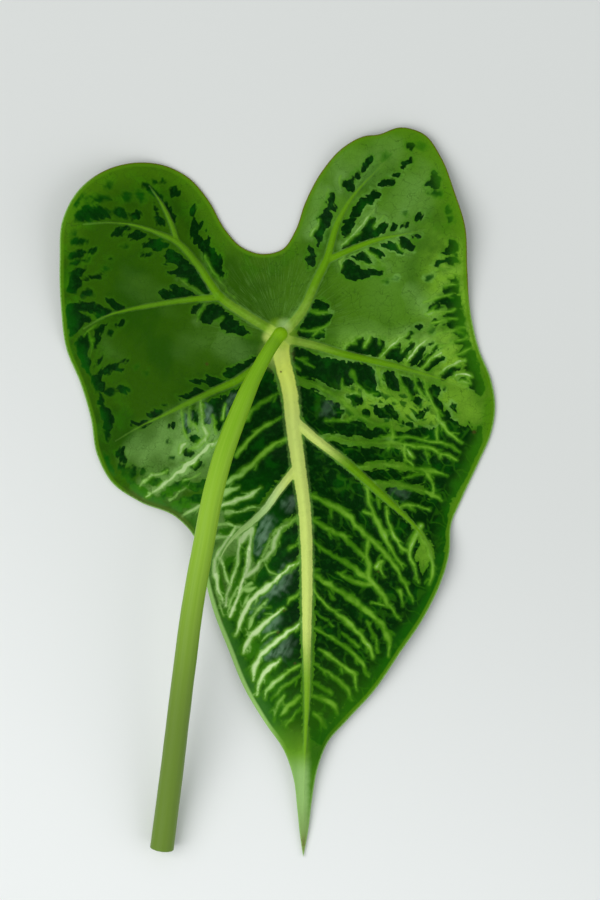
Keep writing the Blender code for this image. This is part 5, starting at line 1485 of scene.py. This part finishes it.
def sweep_tree(name):
    """Sweeps a ridged ring along the object's own curve, whose points carry their radii."""
    tree = bpy.data.node_groups.new(name, "GeometryNodeTree")
    for label, kind, usual in SWEEP_INPUTS:
        item = tree.interface.new_socket(label, in_out="INPUT", socket_type="NodeSocket" + kind)
        if usual is not None:
            item.default_value = usual
    tree.interface.new_socket("Geometry", in_out="OUTPUT", socket_type="NodeSocketGeometry")
    t = Term(tree, None)

    def given(label):
        return t.node("NodeGroupInput", {}, {}, label)

    def measured(curve, label):
        """The curve, with how far along it each point is kept under that name."""
        along = t.node("GeometryNodeSplineParameter", {}, {}, "Factor")
        settings = {"data_type": "FLOAT", "domain": "POINT"}
        inputs = {"Geometry": curve, "Name": label, "Value": along}
        return t.node("GeometryNodeStoreNamedAttribute", settings, inputs)

    inputs = {"Curve": given("Geometry"), "Length": given("Step")}
    path = measured(t.node("GeometryNodeResampleCurve", {"mode": "LENGTH"}, inputs), "along")
    inputs = {"Resolution": given("Ring points"), "Radius": 1.0}
    ring = measured(t.node("GeometryNodeCurvePrimitiveCircle", {}, inputs), "round")
    radius = t.node("GeometryNodeInputRadius")
    inputs = {"Curve": path, "Profile Curve": ring, "Scale": radius, "Fill Caps": True}
    body = t.node("GeometryNodeCurveToMesh", {}, inputs)
    turn = t.node("GeometryNodeInputNamedAttribute", {"data_type": "FLOAT"}, {"Name": "round"}, "Attribute")
    ridges = (turn * given("Ridges") * (2 * math.pi)).maths("SINE") * given("Ridge depth")
    noise = t.node("ShaderNodeTexNoise", {}, {"Scale": LUMPS_TO_A_MM * per_mm, "Detail": 2.0})
    inputs = {0: t.node("GeometryNodeInputNormal"), "Scale": ridges + (noise - 0.5) * given("Unevenness")}
    outward = t.node("ShaderNodeVectorMath", {"operation": "SCALE"}, inputs)
    body = t.node("GeometryNodeSetPosition", {}, {"Geometry": body, "Offset": outward})
    body = t.node("GeometryNodeSetShadeSmooth", {}, {"Geometry": body})
    body = t.node("GeometryNodeSetMaterial", {}, {"Geometry": body, "Material": given("Material")})
    tree.links.new(body.socket, tree.nodes.new("NodeGroupOutput").inputs[0])
    return tree


def swept(name, route, radii, tree, **values):
    """A plain mesh object: the tree's sweep along a route in mm, with a radius in mm at each point."""
    curve = bpy.data.curves.new(name, "CURVE")
    curve.dimensions = "3D"
    spline = curve.splines.new("POLY")
    spline.points.add(len(route) - 1)
    for point, place, radius in zip(spline.points, route, radii):
        point.co = (*(value * MM for value in place), 1.0)
        point.radius = radius * MM
    path = bpy.data.objects.new(name + "_path", curve)
    bpy.context.scene.collection.objects.link(path)
    modifier = path.modifiers.new("sweep", "NODES")
    modifier.node_group = tree
    given = {item.name: item.identifier for item in tree.interface.items_tree if item.in_out == "INPUT"}
    for key, value in values.items():
        modifier[given[key.replace("_", " ")]] = value
    graph = bpy.context.evaluated_depsgraph_get()
    mesh = bpy.data.meshes.new_from_object(path.evaluated_get(graph))
    made = bpy.data.objects.new(name, mesh)
    bpy.context.scene.collection.objects.link(made)
    path.modifiers.remove(modifier)
    bpy.data.objects.remove(path)
    return made


print("stalk route", len(STALK_ROUTE), "places; radius at its cut end", STALK_RADII[-1][1], "mm")

# %% The stalk's finish
STALK_LIGHT = colour(150, 192, 54)
STALK_DEEP = colour(106, 162, 2)
STALK_TOP_PAINTED_LIGHT = colour(138, 194, 16)
STALK_BASE = colour(98, 124, 48)
stalk_green, shader, t = new_material("stalk_green", 0.4, Specular_IOR_Level=0.12)
along, turn = attribute(t, "along"), attribute(t, "round")
# Long streaks: the pattern changes slowly along the stalk and fast round it.
streaks = t.noise(t.node("ShaderNodeCombineXYZ", {}, {0: along * 6.0, 1: turn * 40.0, 2: 0.0}), 1.0, 3.0)
surface = mix(streaks.above(0.2, 0.8) * 0.35 + along.above(0.05, 0.45) * 0.65, STALK_DEEP, STALK_LIGHT)
# Painted light: the stalk's top is lightened against the shade where it turns away at the joint.
surface = mix(along.above(0.06, 0.035), surface, STALK_TOP_PAINTED_LIGHT)
surface = mix(along.above(0.3, 0.8) * 0.9, surface, STALK_BASE)
feed(surface, shader, "Base Color")
feed(streaks * 0.15 + 0.3, shader, "Roughness")
bump = t.node("ShaderNodeBump", {}, {"Strength": 0.15, "Distance": 0.1 * MM, "Height": streaks})
feed(bump, shader, "Normal")
print("stalk material nodes", len(stalk_green.node_tree.nodes))

# %% Sweeping the stalk
route = smooth_line(STALK_ROUTE, STALK_STEP)
route[:, :2] += joint
radii = smooth_value(STALK_RADII, np.linspace(0.0, 1.0, len(route)))
stalk = swept(
    "leaf_stalk", route, radii, sweep_tree("sweep"),
    Ridge_depth=RIDGE_DEPTH * MM, Unevenness=UNEVENNESS * MM, Material=stalk_green,
)
print("stalk triangles", sum(len(p.vertices) - 2 for p in stalk.data.polygons),
      "size in mm", size_in_mm((0, 0, 0), stalk.dimensions))

# %% [markdown]
# The stage.
# The camera looks straight down on the leaf with a long lens, so that nothing bulges. A pale floor and two
# big soft lamps give even light with more of it from the left, which puts a sheen on the half of the blade
# that leans that way. A small lamp would draw a hard shadow under the stalk instead.

# %% Floor, light and camera
# In mm: how much of the leaf's plane the picture is high, how far the camera is, and where the picture's
# middle is, from the joint.
FRAME_HEIGHT = 198.0
CAMERA_DISTANCE = 900.0
CENTRE = (4.4, -25.3)
# In metres: half the floor's width, how far it lies below the leaf, and the lamps' width.
FLOOR_HALF, FLOOR_DROP = 2.0, 0.0001
LAMP_SIZE = 1.1
FLOOR = colour(218, 220, 217)
FLOOR_PAINTED_LIGHT = colour(238, 240, 238)

floor_mesh = bpy.data.meshes.new("floor")
corners = [(x * FLOOR_HALF, y * FLOOR_HALF, -FLOOR_DROP) for x, y in ((-1, -1), (1, -1), (1, 1), (-1, 1))]
floor_mesh.from_pydata(corners, [], [(0, 1, 2, 3)])
floor = bpy.data.objects.new("floor", floor_mesh)
bpy.context.scene.collection.objects.link(floor)
floor_paper, shader, t = new_material("floor_paper", 0.9)
place = t.node("ShaderNodeTexCoord", {}, {}, "Object")
floor_x, floor_y = (t.node("ShaderNodeSeparateXYZ", {}, {0: place}, axis) for axis in (0, 1))
# Painted light: the floor is lighter towards the lower left.
feed(mix((floor_y * -1.0 - floor_x * 0.5).above(-0.06, 0.12), FLOOR, FLOOR_PAINTED_LIGHT), shader, "Base Color")
floor_mesh.materials.append(floor_paper)

ROOM_TINT, ROOM_STRENGTH = (0.86, 0.9, 0.92, 1.0), 0.5
world = bpy.data.worlds.new("room")
bpy.context.scene.world = world
world.use_nodes = True
background = world.node_tree.nodes["Background"]
background.inputs["Color"].default_value = ROOM_TINT
background.inputs["Strength"].default_value = ROOM_STRENGTH
bpy.context.scene.view_settings.view_transform = "Standard"


def soft_lamp(name, place, power):
    """A broad white lamp at a place in metres, which faces the middle of the leaf."""
    data = bpy.data.lights.new(name, "AREA")
    data.shape, data.size, data.energy = "SQUARE", LAMP_SIZE, power
    lamp = bpy.data.objects.new(name, data)
    lamp.location = place
    lamp.rotation_euler = (-Vector(place)).to_track_quat("-Z", "Y").to_euler()
    bpy.context.scene.collection.objects.link(lamp)


soft_lamp("left_window", (-0.7, -0.1, 1.0), 10.0)
soft_lamp("right_fill", (1.0, -0.3, 0.8), 4.0)
camera_data = bpy.data.cameras.new("camera")
camera_data.sensor_fit = "VERTICAL"
camera_data.lens = camera_data.sensor_height / 2 / (FRAME_HEIGHT / 2 / CAMERA_DISTANCE)
camera_data.clip_end = 10.0
camera = bpy.data.objects.new("camera", camera_data)
camera.location = ((CENTRE[0] + joint[0]) * MM, (CENTRE[1] + joint[1]) * MM, CAMERA_DISTANCE * MM)
bpy.context.scene.collection.objects.link(camera)
bpy.context.scene.camera = camera
print("lens in mm", round(camera_data.lens, 1))

# %% [markdown]
# Handing over.
# Each finished piece rides on the model's one body and stands for its own part of the plain solid.

# %% Joining the pieces to the model
for piece, node, finish in ((blade, "blade", "blade_green"), (stalk, "petiole", "stalk_green")):
    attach(piece, "root")
    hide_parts(node)
